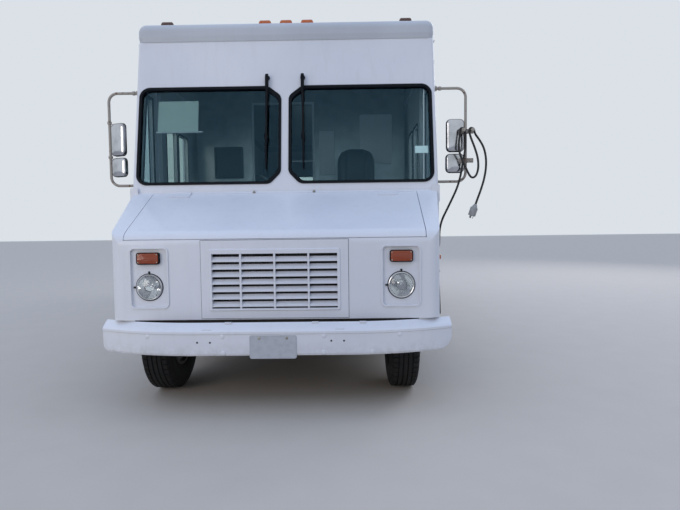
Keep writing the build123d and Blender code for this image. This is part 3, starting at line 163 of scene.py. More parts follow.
def add_loft(bm, sections, looped=False):
    """A skin through sections with the same number of points, or with one point at a tip."""
    count = max(map(len, sections))
    rings = []
    for section in sections:
        ring = [bm.verts.new(point) for point in section]
        rings.append(ring * (count // len(ring)))
    for cap in () if looped else (rings[0][::-1], rings[-1]):
        if len(set(cap)) > 2:
            bm.faces.new(cap)
    for lower, upper in zip(rings, rings[1:] + (rings[:1] if looped else [])):
        for index in range(count):
            after = (index + 1) % count
            corners = dict.fromkeys((lower[index], lower[after], upper[after], upper[index]))
            if len(corners) > 2:
                bm.faces.new(list(corners))


def add_turned(bm, profile, origin, direction, steps=32, looped=False):
    """A turned form: the profile's (radius, height) points go round a line from the origin."""
    turn, origin = facing(direction), Vector(origin)
    sections = []
    for radius, height in profile:
        ring = around(steps, radius) if radius > 1e-6 else [(0, 0)]
        sections.append([origin + turn @ Vector((u, v, height)) for u, v in ring])
    add_loft(bm, sections, looped)


def add_plate(bm, shape, origin, u_axis, v_axis, depth):
    """A plate: an outline made solid by a depth along u x v."""
    add_loft(bm, [lifted(shape, lift, origin, u_axis, v_axis) for lift in (0, depth)])


def add_frame(bm, outer, inner, origin, u_axis, v_axis, depth):
    """A flat ring between two outlines with the same number of points."""
    corners = ((outer, 0), (outer, depth), (inner, depth), (inner, 0))
    add_loft(bm, [lifted(shape, lift, origin, u_axis, v_axis) for shape, lift in corners], looped=True)


def add_dome(bm, shape, profile, origin, u_axis, v_axis):
    """A rounded rectangle that narrows as it rises: the profile holds (inset, lift) pairs."""
    sections = []
    for inset, lift in profile:
        narrowed = (shape[0] - 2 * inset, shape[1] - 2 * inset, max(shape[2] - inset, 0.004))
        sections.append(lifted(narrowed, lift, origin, u_axis, v_axis))
    add_loft(bm, sections)


def add_tube(bm, points, radius, steps=12, closed=False):
    """A round bar along points, with flat ends."""
    points = [Vector(point) for point in points]
    last = len(points) - 1
    side = None
    sections = []
    for index, point in enumerate(points):
        before = points[index - 1] if closed or index else point
        after = points[(index + 1) % len(points)] if closed or index < last else point
        along = (after - before).normalized()
        side = along.orthogonal() if side is None else side
        side = (side - along * side.dot(along)).normalized()
        other = along.cross(side)
        sections.append([point + u * side + v * other for u, v in around(steps, radius)])
    add_loft(bm, sections, looped=closed)


def add_strap(bm, stations, across, outward):
    """A flat bar through (centre, half width, half thickness) stations."""
    add_loft(bm, [[Vector(centre) + a * half_width * across + b * half_thick * outward
                   for a, b in ((-1, -1), (1, -1), (1, 1), (-1, 1))]
                  for centre, half_width, half_thick in stations])


def add_rivets(bm, points, direction, radius=0.0062):
    """A domed rivet head at each point."""
    for point in points:
        profile = [(radius, -0.0005), (radius * 0.8, radius * 0.42), (0, radius * 0.62)]
        add_turned(bm, profile, point, direction, 8)


print("form tools ready")

# %% Tools that start and finish pieces
started = []


def piece(name, finish, body="truck_body", bevel=0.0, smooth=35, slot=None):
    """Starts a piece: an empty mesh to fill, which finish_pieces makes into an object."""
    bm = bmesh.new()
    started.append((bm, name, finish, body, bevel, smooth, slot or finish.slot))
    return bm


def finish_pieces():
    """Makes each started piece an object, rounds its edges and lets it ride on its body."""
    made = {}
    for bm, name, finish, body, bevel, smooth, slot in started:
        bmesh.ops.recalc_face_normals(bm, faces=bm.faces)
        mesh = bpy.data.meshes.new(name)
        bm.to_mesh(mesh)
        bm.free()
        made[name] = obj = bpy.data.objects.new(name, mesh)
        bpy.context.scene.collection.objects.link(obj)
        mesh.materials.append(finish.material)
        mesh.polygons.foreach_set("use_smooth", [True] * len(mesh.polygons))
        if bevel:
            rounding = obj.modifiers.new("rounded edges", "BEVEL")
            rounding.width = bevel
            rounding.segments = 2
            rounding.limit_method = "ANGLE"
            rounding.angle_limit = math.radians(40)
            rounding.harden_normals = True
        mesh.set_sharp_from_angle(angle=math.radians(smooth))
        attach(obj, body)
    started.clear()
    print("made", ", ".join(made))
    return made


print("piece tools ready")

# %% [markdown]
# ## The camera
# The camera stands where the photographer stood: about three metres ahead of the bumper, at chest
# height, a little to the driver's side, looking slightly down. A 26 mm lens gives the strong
# perspective that makes the nose look larger than the rear. The place was found by fitting the
# van's known sizes, so it is written as plain numbers.

# %% Place the camera
CAMERA_PLACE = Vector((0.483, -6.673, 1.212))
CAMERA_YAW = math.radians(0.819)
CAMERA_PITCH = math.radians(-3.040)
CAMERA_ROLL = math.radians(0.692)
forward = Vector((
    -math.sin(CAMERA_YAW) * math.cos(CAMERA_PITCH),
    math.cos(CAMERA_YAW) * math.cos(CAMERA_PITCH),
    math.sin(CAMERA_PITCH),
))
level_right = forward.cross(Z).normalized()
level_up = level_right.cross(forward)
right = level_right * math.cos(CAMERA_ROLL) - level_up * math.sin(CAMERA_ROLL)
upward = level_right * math.sin(CAMERA_ROLL) + level_up * math.cos(CAMERA_ROLL)
camera_data = bpy.data.cameras.new("camera")
camera_data.sensor_width = 36
camera_data.lens = 26.48
camera_data.clip_end = 200
camera = bpy.data.objects.new("camera", camera_data)
bpy.context.scene.collection.objects.link(camera)
turn = Matrix((right, upward, -forward)).transposed().to_4x4()
camera.matrix_world = Matrix.Translation(CAMERA_PLACE) @ turn
bpy.context.scene.camera = camera
print("camera", round(camera_data.lens, 2), "mm lens at", [round(value, 3) for value in CAMERA_PLACE])

# %% [markdown]
# ## Colours and nodes
# Paint makers and screens both speak sRGB, so each colour is written as a hex value. Blender adds up
# light in linear values, so one function turns hex into linear. A finish is a material with one
# shader, and its methods add the few nodes that aged surfaces need, at sizes in millimetres.

# %% Colour and node helpers
def linear(hex_colour):
    """An sRGB hex value as linear red, green, blue and alpha."""
    values = []
    for start in (1, 3, 5):
        share = int(hex_colour[start:start + 2], 16) / 255
        values.append(share / 12.92 if share <= 0.04045 else ((share + 0.055) / 1.055) ** 2.4)
    return (*values, 1.0)


def feed(tree, socket, value):
    """Gives a socket a number, a hex colour or another node's output."""
    if isinstance(value, bpy.types.NodeSocket):
        tree.links.new(socket, value)
    else:
        socket.default_value = linear(value) if isinstance(value, str) else value


def add_node(tree, kind, inputs=(), **attributes):
    """Adds one node with its attributes and its inputs, by name or in order, and returns its outputs."""
    node = tree.nodes.new("ShaderNode" + kind)
    for name, value in attributes.items():
        setattr(node, name, value)
    for name, value in (inputs.items() if isinstance(inputs, dict) else enumerate(inputs)):
        feed(tree, node.inputs[name], value)
    return node.outputs


class Finish:
    """A material with one Principled shader, whose patterns are noise at its real size."""

    def __init__(self, name, slot, colour, roughness, **sockets):
        self.material = bpy.data.materials.new(name)
        self.material.use_nodes = True
        self.slot = slot
        self.tree = self.material.node_tree
        self.place = self.add("TexCoord")["Object"]
        self.set(Base_Color=colour, Roughness=roughness, **sockets)

    def add(self, kind, inputs=(), **attributes):
        """One more node in this material."""
        return add_node(self.tree, kind, inputs, **attributes)

    def set(self, **sockets):
        """Feeds the shader's sockets, whose spaces are written as underscores."""
        for name, value in sockets.items():
            feed(self.tree, self.tree.nodes["Principled BSDF"].inputs[name.replace("_", " ")], value)

    def noise(self, millimetres, stretch=(1, 1, 1), detail=4.0, roughness=0.55):
        """Noise whose blots are about this many millimetres across, drawn out where it is stretched."""
        scale = tuple(1000 / millimetres / part for part in stretch)
        spread = self.add("Mapping", {"Vector": self.place, "Scale": scale})["Vector"]
        inputs = {"Vector": spread, "Scale": 1.0, "Detail": detail, "Roughness": roughness}
        return self.add("TexNoise", inputs)["Fac"]

    def blots(self, millimetres, low, high, start=0.0, stop=1.0, **noise):
        """Noise whose values between low and high are spread from start to stop."""
        return self.add("MapRange", (self.noise(millimetres, **noise), low, high, start, stop))[0]


print("finish tools ready")

# %% [markdown]
# ## Old white enamel
# The whole body, its bumper and even the grille are painted white. It is sprayed enamel over
# aluminium, touched up later with a roller, so it has three things that new paint lacks: a slow
# waviness of the sheet, fine roller stipple, and a film of dirt that is thickest near the road and
# runs down in streaks. All of these are noise at their real sizes. The wheels' hidden inner sides
# are darkened to near black as painted shade.

# %% The body's enamel
def make_enamel(name, slot, colour, worn, dirt_height=0.9, gloss=0.34, shaded_inside=None):
    """Painted sheet with old patches, dirt below a height, and painted shade inside a half width."""
    paint = Finish(name, slot, colour, gloss, IOR=1.5, Coat_Weight=0.25, Coat_Roughness=0.12)
    add = paint.add
    sideways, _, up = add("SeparateXYZ", (paint.place,))
    old = paint.blots(900, 0.35, 0.7, detail=3)
    tint = add("Mix", {0: old, 6: colour, 7: worn}, data_type="RGBA")[2]
    streaks = paint.blots(45, 0.52, 0.78, 0, 0.09, stretch=(1, 1, 14), detail=5)
    tint = add("Mix", {0: streaks, 6: tint, 7: "#A9A8A2"}, data_type="RGBA")[2]
    low_down = add("MapRange", (up, dirt_height, 0.35))[0]
    splash = paint.blots(70, 0.38, 0.72, detail=8, roughness=0.7)
    splashed = add("Math", (low_down, splash), operation="MULTIPLY")[0]
    grime = add("Math", (splashed, 0.55), operation="MULTIPLY")[0]
    tint = add("Mix", {0: grime, 6: tint, 7: "#8B8477"}, data_type="RGBA")[2]
    chips = paint.blots(14, 0.735, 0.75, detail=6, roughness=0.7)
    chipped = add("Math", (chips, 0.5), operation="MULTIPLY")[0]
    tint = add("Mix", {0: chipped, 6: tint, 7: "#77736B"}, data_type="RGBA")[2]
    # The wheels' inner sides, inside a half width, go near black: painted shade.
    if shaded_inside:
        from_middle = add("Math", (sideways, 0.5), operation="ABSOLUTE")[0]
        dust = add("MapRange", (from_middle, shaded_inside, shaded_inside - 0.03, 0, 0.93))[0]
        tint = add("Mix", {0: dust, 6: tint, 7: "#24211E"}, data_type="RGBA")[2]
    matt = paint.blots(260, 0.3, 0.7, gloss - 0.06, gloss + 0.12, detail=5)
    waves = {"Height": paint.noise(420, detail=1.5), "Distance": 9 / 1000, "Strength": 0.22}
    stipple = {"Height": paint.noise(7, detail=2), "Distance": 0.35 / 1000, "Strength": 0.35}
    normal = add("Bump", {**stipple, "Normal": add("Bump", waves)["Normal"]})["Normal"]
    paint.set(Base_Color=tint, Roughness=matt, Normal=normal)
    return paint


white_enamel = make_enamel("white enamel over aluminium", "white_paint", "#E5E6EA", "#DADCE3",
                           dirt_height=0.50)
side_enamel = make_enamel("white enamel of the side walls", "white_paint", "#E5E6EA", "#D9DBE1",
                          dirt_height=1.0)
# The roof's darker grey is partly chalked paint and partly painted shade.
roof_enamel_and_shade = make_enamel("chalked roof enamel with painted shade", "roof_white", "#C5C9CF", "#B8BCC3", gloss=0.5)
wheel_enamel = make_enamel("wheel enamel", "wheel_paint", "#C9CACD", "#B4B5B8", dirt_height=1.4, gloss=0.42,
                           shaded_inside=0.86)
print("enamels made")

# %% [markdown]
# ## Metals
# Mirror backs are polished stainless steel with fine scratches. The mirror tubes were painted once and
# now show brown rust. Kitchen sheet is brushed. The frame under the floor is black and dusty.

# %% Metals
def make_metal(name, slot, colour, roughness, brushed=(1, 1, 1), grain=2.0, tarnish=None):
    """Bare metal with scratches along one direction and a little tarnish."""
    metal = Finish(name, slot, colour, roughness, Metallic=1.0)
    scratches = metal.noise(grain, stretch=brushed, detail=3)
    matt = metal.add("MapRange", (scratches, 0.3, 0.7, roughness * 0.7, roughness * 1.4))[0]
    clouds = metal.blots(120, 0.4, 0.75, detail=6)
    tint = metal.add("Mix", {0: clouds, 6: colour, 7: tarnish or colour}, data_type="RGBA")[2]
    relief = {"Height": scratches, "Distance": 0.05 / 1000, "Strength": 0.25}
    metal.set(Base_Color=tint, Roughness=matt, Normal=metal.add("Bump", relief)["Normal"])
    return metal


def make_rusty_paint(name, slot, paint, rust, amount, roughness=0.55):
    """Old paint that has let rust through in patches, which stand a little proud."""
    rusty = Finish(name, slot, paint, roughness)
    patches = rusty.blots(38, 0.66 - amount, 0.70 - amount, detail=9, roughness=0.7)
    grains = rusty.noise(9, detail=5)
    shade = rusty.add("Mix", {0: grains, 6: rust, 7: "#4A2F20"}, data_type="RGBA")[2]
    tint = rusty.add("Mix", {0: patches, 6: paint, 7: shade}, data_type="RGBA")[2]
    matt = rusty.add("MapRange", (patches, 0, 1, roughness, 0.9))[0]
    relief = {"Height": patches, "Distance": 0.4 / 1000, "Strength": 0.5}
    rusty.set(Base_Color=tint, Roughness=matt, Normal=rusty.add("Bump", relief)["Normal"])
    return rusty


polished_steel = make_metal("polished stainless steel", "stainless", "#C9CBD0", 0.16, (1, 1, 6), 3, "#A3A5A8")
brushed_steel = make_metal("brushed stainless sheet", "stainless", "#B9BBBD", 0.32, (30, 30, 1), 1.5,
                           "#9A9B9C")
kitchen_steel = make_metal("kitchen sheet", "kitchen_steel", "#B6B8BA", 0.38, (1, 40, 1), 1.5, "#A1A3A5")
chrome = make_metal("bright chrome", "stainless", "#E6E7EA", 0.05, (1, 1, 1), 5, "#CFD0D2")
tread_plate = make_metal("worn floor plate", "floor_metal", "#8E8F90", 0.45, (1, 12, 1), 4, "#6C6B68")
zinc = make_metal("zinc plated bolts", "stainless", "#A8A79F", 0.4, (1, 1, 1), 4, "#7F7B70")
rusty_tube = make_rusty_paint("rusting painted tube", "rusty_tube", "#A59D93", "#7A5238", 0.085)
cast_grey = make_rusty_paint("oily cast iron", "cast_grey", "#3E3D3B", "#4A3427", 0.08)
pale_needle = make_rusty_paint("worn pale paint", "white_paint", "#E8E4D8", "#8C8478", 0.02, 0.4)
print("metals made")

# %% Blacks: chassis, rubber, vinyl and moulded plastic
def make_dusty_black(name, slot, colour, dust, millimetres, roughness, share=0.5, grain=1.2, shine=0.5):
    """Black that carries pale dust in patches, with a fine grain."""
    black = Finish(name, slot, colour, roughness, Specular_IOR_Level=shine)
    film = black.blots(millimetres, 0.35, 0.8, 0, share, detail=8, roughness=0.65)
    matt = black.add("MapRange", (film, 0, share, roughness - 0.08, min(roughness + 0.2, 1)))[0]
    tint = black.add("Mix", {0: film, 6: colour, 7: dust}, data_type="RGBA")[2]
    relief = {"Height": black.noise(grain, detail=3), "Distance": 0.2 / 1000, "Strength": 0.5}
    black.set(Base_Color=tint, Roughness=matt, Normal=black.add("Bump", relief)["Normal"])
    return black


chassis_black = make_dusty_black("dusty chassis black", "frame_black", "#1D1D1F", "#5B564E", 90, 0.6)
window_rubber = make_dusty_black("window rubber", "black_rubber", "#0C1117", "#1B232C", 60, 0.62, 0.3,
                                 shine=0.15)
tyre_rubber = make_dusty_black("tyre rubber", "tyre", "#151618", "#3B3833", 45, 0.78, 0.5, 2.5, 0.35)
moulded_black = make_dusty_black("moulded black plastic", "black_plastic", "#1A1B1D", "#45464A", 80, 0.5,
                                 0.35)
cord_rubber = make_dusty_black("cord rubber", "black_rubber", "#141416", "#3E3D3C", 70, 0.55, 0.3)
seat_vinyl = make_dusty_black("black seat vinyl", "seat_vinyl", "#161719", "#36373A", 30, 0.42, 0.25, 1.6)
plug_shell = make_dusty_black("grey plug moulding", "plug_grey", "#A6A7A6", "#77736B", 25, 0.5, 0.6)
print("blacks made")

# %% [markdown]
# ## Glass and lamp plastic
# The cab's glass is laminated and tinted blue-green, which is why the cab looks dark and teal from the
# road. Light has to come in for the seat and partition to show, so a shadow ray may pass. Lamp lenses
# are moulded with flutes, which break up what lies behind them.

# %% Glass and lamp plastic
def make_glass(name, slot, colour, roughness, film="#FFFFFF", flutes=None, passes=0.85):
    """Clear material that bends light, and lets a share of it through to what lies behind."""
    glass = Finish(name, slot, colour, roughness, IOR=1.45, Transmission_Weight=1.0, Specular_Tint=film)
    shadow = glass.add("LightPath")["Is Shadow Ray"]
    smear = glass.blots(160, 0.45, 0.8, roughness, roughness + 0.06, stretch=(1, 1, 3), detail=6)
    glass.set(Alpha=glass.add("MapRange", (shadow, 0, 1, 1, 1 - passes))[0], Roughness=smear)
    if flutes:
        height = glass.noise(flutes, stretch=(1, 1, 30), detail=0)
        relief = {"Height": height, "Distance": 0.9 / 1000, "Strength": 0.4}
        glass.set(Normal=glass.add("Bump", relief)["Normal"])
    return glass


def make_lens(name, slot, colour, deep):
    """Coloured acrylic: a gloss skin over a deep colour, with moulded ribs."""
    lens = Finish(name, slot, colour, 0.18, IOR=1.49, Transmission_Weight=0.25, Coat_Weight=0.6,
                  Coat_Roughness=0.05)
    ribs = lens.add("TexWave", {"Vector": lens.place, "Scale": 38.0, "Distortion": 0.0},
                    bands_direction="Z")["Fac"]
    cells = lens.add("Math", (ribs, lens.noise(14, detail=2)), operation="MULTIPLY")[0]
    tint = lens.add("Mix", {0: cells, 6: colour, 7: deep}, data_type="RGBA")[2]
    relief = {"Height": ribs, "Distance": 0.8 / 1000, "Strength": 0.5}
    lens.set(Base_Color=tint, Normal=lens.add("Bump", relief)["Normal"])
    return lens


cab_glass = make_glass("greenish windshield glass", "glass", "#BCD1D6", 0.01, film="#8FC8EA", passes=0.36)
side_glass = make_glass("pale side glass", "glass", "#DCE8E0", 0.01, passes=0.6)
lens_glass = make_glass("headlamp glass", "lamp_glass", "#F1F4F5", 0.02, flutes=9)
amber_lens = make_lens("amber lamp acrylic", "amber_plastic", "#B94A18", "#6E240C")
orange_lens = make_lens("orange marker acrylic", "amber_plastic", "#DE6A1C", "#B04A14")
browned_shaded_lens = make_lens("sun-browned marker acrylic with painted shade", "amber_plastic", "#5A2A1E", "#3A1811")
red_lens = make_lens("red lamp acrylic", "red_plastic", "#A81A14", "#560806")
print("glass and lamp plastic made")

# %% [markdown]
# ## Printed, pressed and silvered sheet
# A few small things are flat sheet: the blank plate, the card and the sticker, the dials' faces and
# the mirrors' silver. Each is one colour that clouds slowly into a second one.

# %% Sheet finishes
def make_sheet(name, slot, first, second, roughness, millimetres, low=0.0, high=1.0, detail=4, **sockets):
    """Flat sheet whose colour clouds into a second one."""
    sheet = Finish(name, slot, first, roughness, **sockets)
    clouds = sheet.blots(millimetres, low, high, detail=detail)
    tint = sheet.add("Mix", {0: clouds, 6: first, 7: second}, data_type="RGBA")[2]
    sheet.set(Base_Color=tint)
    return sheet


def make_clouded(name, slot, colour, millimetres, low, high, smooth, rough, detail, **sockets):
    """Smooth sheet whose shine is dulled in clouds."""
    sheet = Finish(name, slot, colour, smooth, **sockets)
    sheet.set(Roughness=sheet.blots(millimetres, low, high, smooth, rough, detail=detail))
    return sheet


plate_metal = make_sheet("pressed aluminium plate", "stainless", "#BBBFC7", "#ADB1B9", 0.42, 35,
                         0.45, 0.75, 7, Metallic=0.35)
pressing = {"Height": plate_metal.noise(60, detail=2), "Distance": 0.6 / 1000, "Strength": 0.4}
plate_metal.set(Normal=plate_metal.add("Bump", pressing)["Normal"])
faded_card = make_sheet("faded printed card", "white_paint", "#E0EBE1", "#EDF4EC", 0.8, 90, detail=3)
pale_sticker = make_sheet("pale vinyl sticker", "white_paint", "#B4DAD6", "#C8E6E2", 0.45, 20)
mirror_glass = make_clouded("mirror glass", "stainless", "#DDE3E6", 60, 0.5, 0.8, 0.02, 0.09, 6, Metallic=1.0)
dial_face = make_clouded("printed dial face", "black_plastic", "#15161A", 20, 0.3, 0.7, 0.28, 0.45, 4)
print("sheets made")

# %% [markdown]
# ## Give each solid its finish
# A solid whose shape is right keeps its mesh, and only its material slot changes. One table says which
# finish goes on which solid, so it is easy to see that none is left plain.

# %% Dress the solids
DRESSES = (
    (white_enamel,
     "front_bumper nose_shell hood grille front_wall serving_hatch rear_door_left rear_door_right"),
    (side_enamel, "wall_left wall_right rear_frame rear_bumper cab_door_left cab_door_right"),
    (roof_enamel_and_shade, "roof_shell roof_vent"),
    (chassis_black, "chassis_frame front_suspension rear_suspension fuel_tank knuckle_left knuckle_right"),
    (cast_grey, "engine_block exhaust_pipe"),
    (cab_glass, "cab_glass"),
    (side_glass, "door_glass_left door_glass_right rear_glass_left rear_glass_right"),
    (window_rubber, "window_gaskets"),
    (amber_lens, "amber_lamps"),
    (red_lens, "tail_lamps"),
    (rusty_tube, "mirror_arms"),
    (polished_steel, "mirror_heads"),
    (moulded_black, "wipers dashboard cord_gland"),
    (tread_plate, "floor_pan"),
    (kitchen_steel, "kitchen_fittings"),
    (brushed_steel, "service_shelf"),
    (seat_vinyl, "driver_seat"),
    (wheel_enamel, "front_rim_left front_rim_right rear_rims_left rear_rims_right"),
    (tyre_rubber, "front_tyre_left front_tyre_right rear_tyres_left rear_tyres_right"),
    (lens_glass, "headlamps"),
    (plug_shell, "power_plug"),
)
for finish, names in DRESSES:
    for name in names.split():
        for slot in nodes[name].material_slots:
            slot.link = "OBJECT"
            slot.material = finish.material
print("dressed", len(nodes), "solids")

# %% [markdown]
# ## The power cord
# A food truck's shore-power cord is thick, limp rubber. This one leaves a gland beside the driver's
# door, is looped over the bolts of the mirror clamp and hangs down in loose strands to its plug. Its
# line is one smooth spline through listed control points, which is how a heavy cord lies.

# %% The cord
CORD_DIAMETER = 0.017
CORD_ROUTE = [
    (1.232, -2.320, 1.010), (1.266, -2.320, 1.010), (1.278, -2.342, 1.050), (1.272, -2.390, 1.115),
    (1.262, -2.450, 1.190), (1.270, -2.505, 1.270), (1.302, -2.545, 1.350), (1.342, -2.570, 1.440),
    (1.384, -2.580, 1.535), (1.410, -2.582, 1.632), (1.426, -2.580, 1.728), (1.446, -2.578, 1.830),
    (1.450, -2.577, 1.920), (1.444, -2.576, 1.965), (1.444, -2.577, 2.007), (1.402, -2.596, 2.007),
    (1.401, -2.598, 1.962), (1.386, -2.604, 1.870), (1.396, -2.612, 1.790), (1.430, -2.618, 1.715),
    (1.462, -2.618, 1.640), (1.490, -2.616, 1.602), (1.526, -2.612, 1.618), (1.546, -2.608, 1.680),
    (1.544, -2.602, 1.760), (1.520, -2.598, 1.845), (1.490, -2.596, 1.920), (1.476, -2.596, 1.965),
    (1.476, -2.595, 2.007), (1.518, -2.577, 2.007), (1.522, -2.576, 1.965), (1.562, -2.574, 1.915),
    (1.600, -2.572, 1.850), (1.618, -2.570, 1.765), (1.617, -2.568, 1.680), (1.602, -2.567, 1.595),
    (1.576, -2.566, 1.510), (1.550, -2.565, 1.440), (1.534, -2.565, 1.395),
]
cord_curve = bpy.data.curves.new("power cord line", "CURVE")
cord_curve.dimensions = "3D"
cord_spline = cord_curve.splines.new("NURBS")
cord_spline.points.add(len(CORD_ROUTE) - 1)
for point, place in zip(cord_spline.points, CORD_ROUTE):
    point.co = (*place, 1)
cord_spline.order_u = 3
cord_spline.use_endpoint_u = True
cord_spline.resolution_u = 8
cord_curve.bevel_depth = CORD_DIAMETER / 2
cord_curve.bevel_resolution = 5
cord_curve.use_fill_caps = True
cord_curve.materials.append(cord_rubber.material)
power_cord = bpy.data.objects.new("power_cord_line", cord_curve)
bpy.context.scene.collection.objects.link(power_cord)
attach(power_cord, "truck_body")
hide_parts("power_cord")

# %% [markdown]
# ## Tyres with a real tread
# A tyre is a moulded ring: a flat tread with straight grooves, shoulder blocks cut by cross notches,
# and a bulging sidewall that carries thin raised rings. The section is a short table of places, and
# it goes round the axle in steps that jump at each notch, so that the walls of the notch stay sharp.

# %% Build the tyres
TYRE_SECTION = [  # side of the middle, radius; from one bead to the tread
    (0.0774, 0.203), (0.0774, 0.217), (0.0850, 0.222), (0.0935, 0.235), (0.0985, 0.246), (0.1012, 0.250),
    (0.1015, 0.256), (0.1055, 0.280), (0.1074, 0.300), (0.1066, 0.318), (0.1064, 0.324), (0.1036, 0.330),
    (0.1020, 0.346), (0.0975, 0.362),
]
SHOULDER = [(0.0915, 0.374, 0.366), (0.0850, 0.3825, 0.374), (0.0790, 0.3862, 0.3775),
            (0.0570, 0.3871, 0.380)]
GROOVES = (0.0495, 0.0165)
GROOVE_TOP_HALF, GROOVE_FOOT_HALF = 0.0045, 0.0033
TREAD_RADIUS, TREAD_DEPTH = 0.388, 0.010
NOTCHES = 54


def tyre_rows():
    """Each row across the tyre: its place, its full radius, and its radius in a notch."""
    half = [(x, radius, radius) for x, radius in TYRE_SECTION] + SHOULDER
    for groove in GROOVES:
        crown = TREAD_RADIUS - 0.15 * groove ** 2
        floor_radius = crown - TREAD_DEPTH
        cut_crown = crown - (0.003 if groove == GROOVES[0] else 0)
        half += [(groove + GROOVE_TOP_HALF, crown, cut_crown),
                 (groove + GROOVE_FOOT_HALF, floor_radius, floor_radius),
                 (groove - GROOVE_FOOT_HALF, floor_radius, floor_radius),
                 (groove - GROOVE_TOP_HALF, crown, cut_crown)]
    return half + [(-x, full, cut) for x, full, cut in reversed(half)]


def add_tyre(bm, middle, side):
    """One tyre round an axle point."""
    sections = []
    for notch in range(NOTCHES):
        for share, cut_in in ((0.0, False), (0.74, False), (0.76, True), (0.98, True)):
            angle = math.tau * (notch + share) / NOTCHES
            spoke = Y * math.cos(angle) + Z * math.sin(angle)
            sections.append([middle + side * x * X + (cut if cut_in else full) * spoke
                             for x, full, cut in tyre_rows()])
    add_loft(bm, sections, looped=True)


TYRE_SETS = (
    ("front_tyre", "front_wheel", FRONT_AXLE_Y, (0.890,)),
    ("rear_tyres", "rear_wheels", REAR_AXLE_Y, (0.705, 0.955)),
)
for node, body, axle_y, places in TYRE_SETS:
    for name, side in SIDES:
        treads = piece(f"{node}_tread_{name}", tyre_rubber, f"{body}_{name}", smooth=28)
        for x in places:
            add_tyre(treads, Vector((side * x, axle_y, AXLE_Z)), side)
made = finish_pieces()
for node, _, _, _ in TYRE_SETS:
    for name, _ in SIDES:
        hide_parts(f"{node}_{name}")

# %% [markdown]
# ## Wheel nuts and hub caps
# A van wheel of this class has eight nuts round a hub that stands out at the front and is sunk at the
# rear. The nuts are six-sided, so a turned form with six steps makes each one.

# %% Nuts and caps
NUT_CIRCLE, CAP_BOLT_CIRCLE = 0.09735, 0.040
NUT_FORMS = (  # profile and steps: washer, nut, stud
    ([(0.0145, -0.004), (0.0145, 0.003)], 18),
    ([(0.0125, 0.0), (0.0125, 0.015), (0.0095, 0.020)], 6),
    ([(0.0065, 0.018), (0.0065, 0.027), (0.0045, 0.029)], 12),
)
for body, axle_y, face_x, cap_x in (("front_wheel", FRONT_AXLE_Y, 0.945, 0.985),
                                    ("rear_wheels", REAR_AXLE_Y, 0.842, 0.975)):
    for name, side in SIDES:
        nuts = piece(f"{body}_nuts_{name}", zinc, f"{body}_{name}", bevel=0.0008)
        for y, z in around(8, NUT_CIRCLE, 0.5):
            for profile, steps in NUT_FORMS:
                add_turned(nuts, profile, (side * face_x, axle_y + y, AXLE_Z + z), side * X, steps)
        cap = piece(f"{body}_cap_{name}", wheel_enamel, f"{body}_{name}", bevel=0.001)
        add_turned(cap, [(0.050, -0.006), (0.050, 0.006), (0.044, 0.014), (0.020, 0.020), (0, 0.021)],
                   (side * cap_x, axle_y, AXLE_Z), side * X, 40)
        for y, z in around(6, CAP_BOLT_CIRCLE):
            add_turned(cap, [(0.006, 0.008), (0.006, 0.014), (0.004, 0.016)],
                       (side * cap_x, axle_y + y, AXLE_Z + z), side * X, 6)
finish_pieces()

# %% [markdown]
# ## Headlamps
# A sealed beam is a glass bowl, silvered inside, with a fluted lens on its front. A chrome ring holds
# it in the painted panel, with a gap round it and two black adjusting screws. The gap's dark is painted
# shade: a flat black rubber ring round the chrome one. Making the bowl and the lens as two real
# surfaces lets the renderer find the sparkle by itself.

# %% Lamp bowls, lenses and rings
LAMP_X, LAMP_Z = 0.841, 0.834
LAMP_FIELD_Y = NOSE_Y + 0.012
ADJUSTER_REACH = 0.100
BOWL_RADIUS = 0.0745
RING_PROFILE = [(0.0745, 0.002), (0.0885, 0.002), (0.0885, 0.007), (0.0860, 0.012), (0.0820, 0.014),
                (0.0775, 0.012), (0.0745, 0.007)]
BOWL_SHARES = (0.12, 0.25, 0.4, 0.55, 0.7, 0.85, 1.0)
bowl = [(BOWL_RADIUS * share, -0.062 + 0.064 * share ** 2) for share in BOWL_SHARES]
bowl += [(radius + 0.0015, height - 0.003) for radius, height in reversed(bowl)]
dome = [(0.0, 0.026), (0.02, 0.0252), (0.04, 0.0222), (0.056, 0.0175), (0.068, 0.0118), (0.0755, 0.006)]
dome += [(radius, height - 0.004) for radius, height in reversed(dome)]
rings = piece("headlamp_rings", polished_steel)
# A flat black ring round each chrome ring is the painted shade of the gap.
gap_shade_rings = piece("headlamp_gap_shade_rings", window_rubber)
bowls = piece("headlamp_bowls", chrome)
lenses = piece("headlamp_lenses", lens_glass)
adjusters = piece("headlamp_adjusters", moulded_black)
for name, side in SIDES:
    spot = Vector((side * LAMP_X, LAMP_FIELD_Y, LAMP_Z))
    add_turned(rings, RING_PROFILE, spot, -Y, 64, looped=True)
    add_turned(gap_shade_rings, [(0.0875, -0.004), (0.0930, -0.004), (0.0930, 0.002), (0.0875, 0.002)], spot, -Y, 48,
               looped=True)
    add_turned(bowls, bowl, spot, -Y, 48, looped=True)
    add_turned(bowls, [(0.012, -0.064), (0.012, -0.058), (0.006, -0.030), (0.0, -0.029)], spot, -Y, 20)
    add_turned(lenses, dome, spot, -Y, 64)
    for shift in (ADJUSTER_REACH * Z, -ADJUSTER_REACH * X):
        add_turned(adjusters, [(0.0075, -0.002), (0.0075, 0.004), (0.005, 0.008), (0, 0.009)],
                   spot + shift, -Y, 16)
made = finish_pieces()
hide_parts("headlamps")
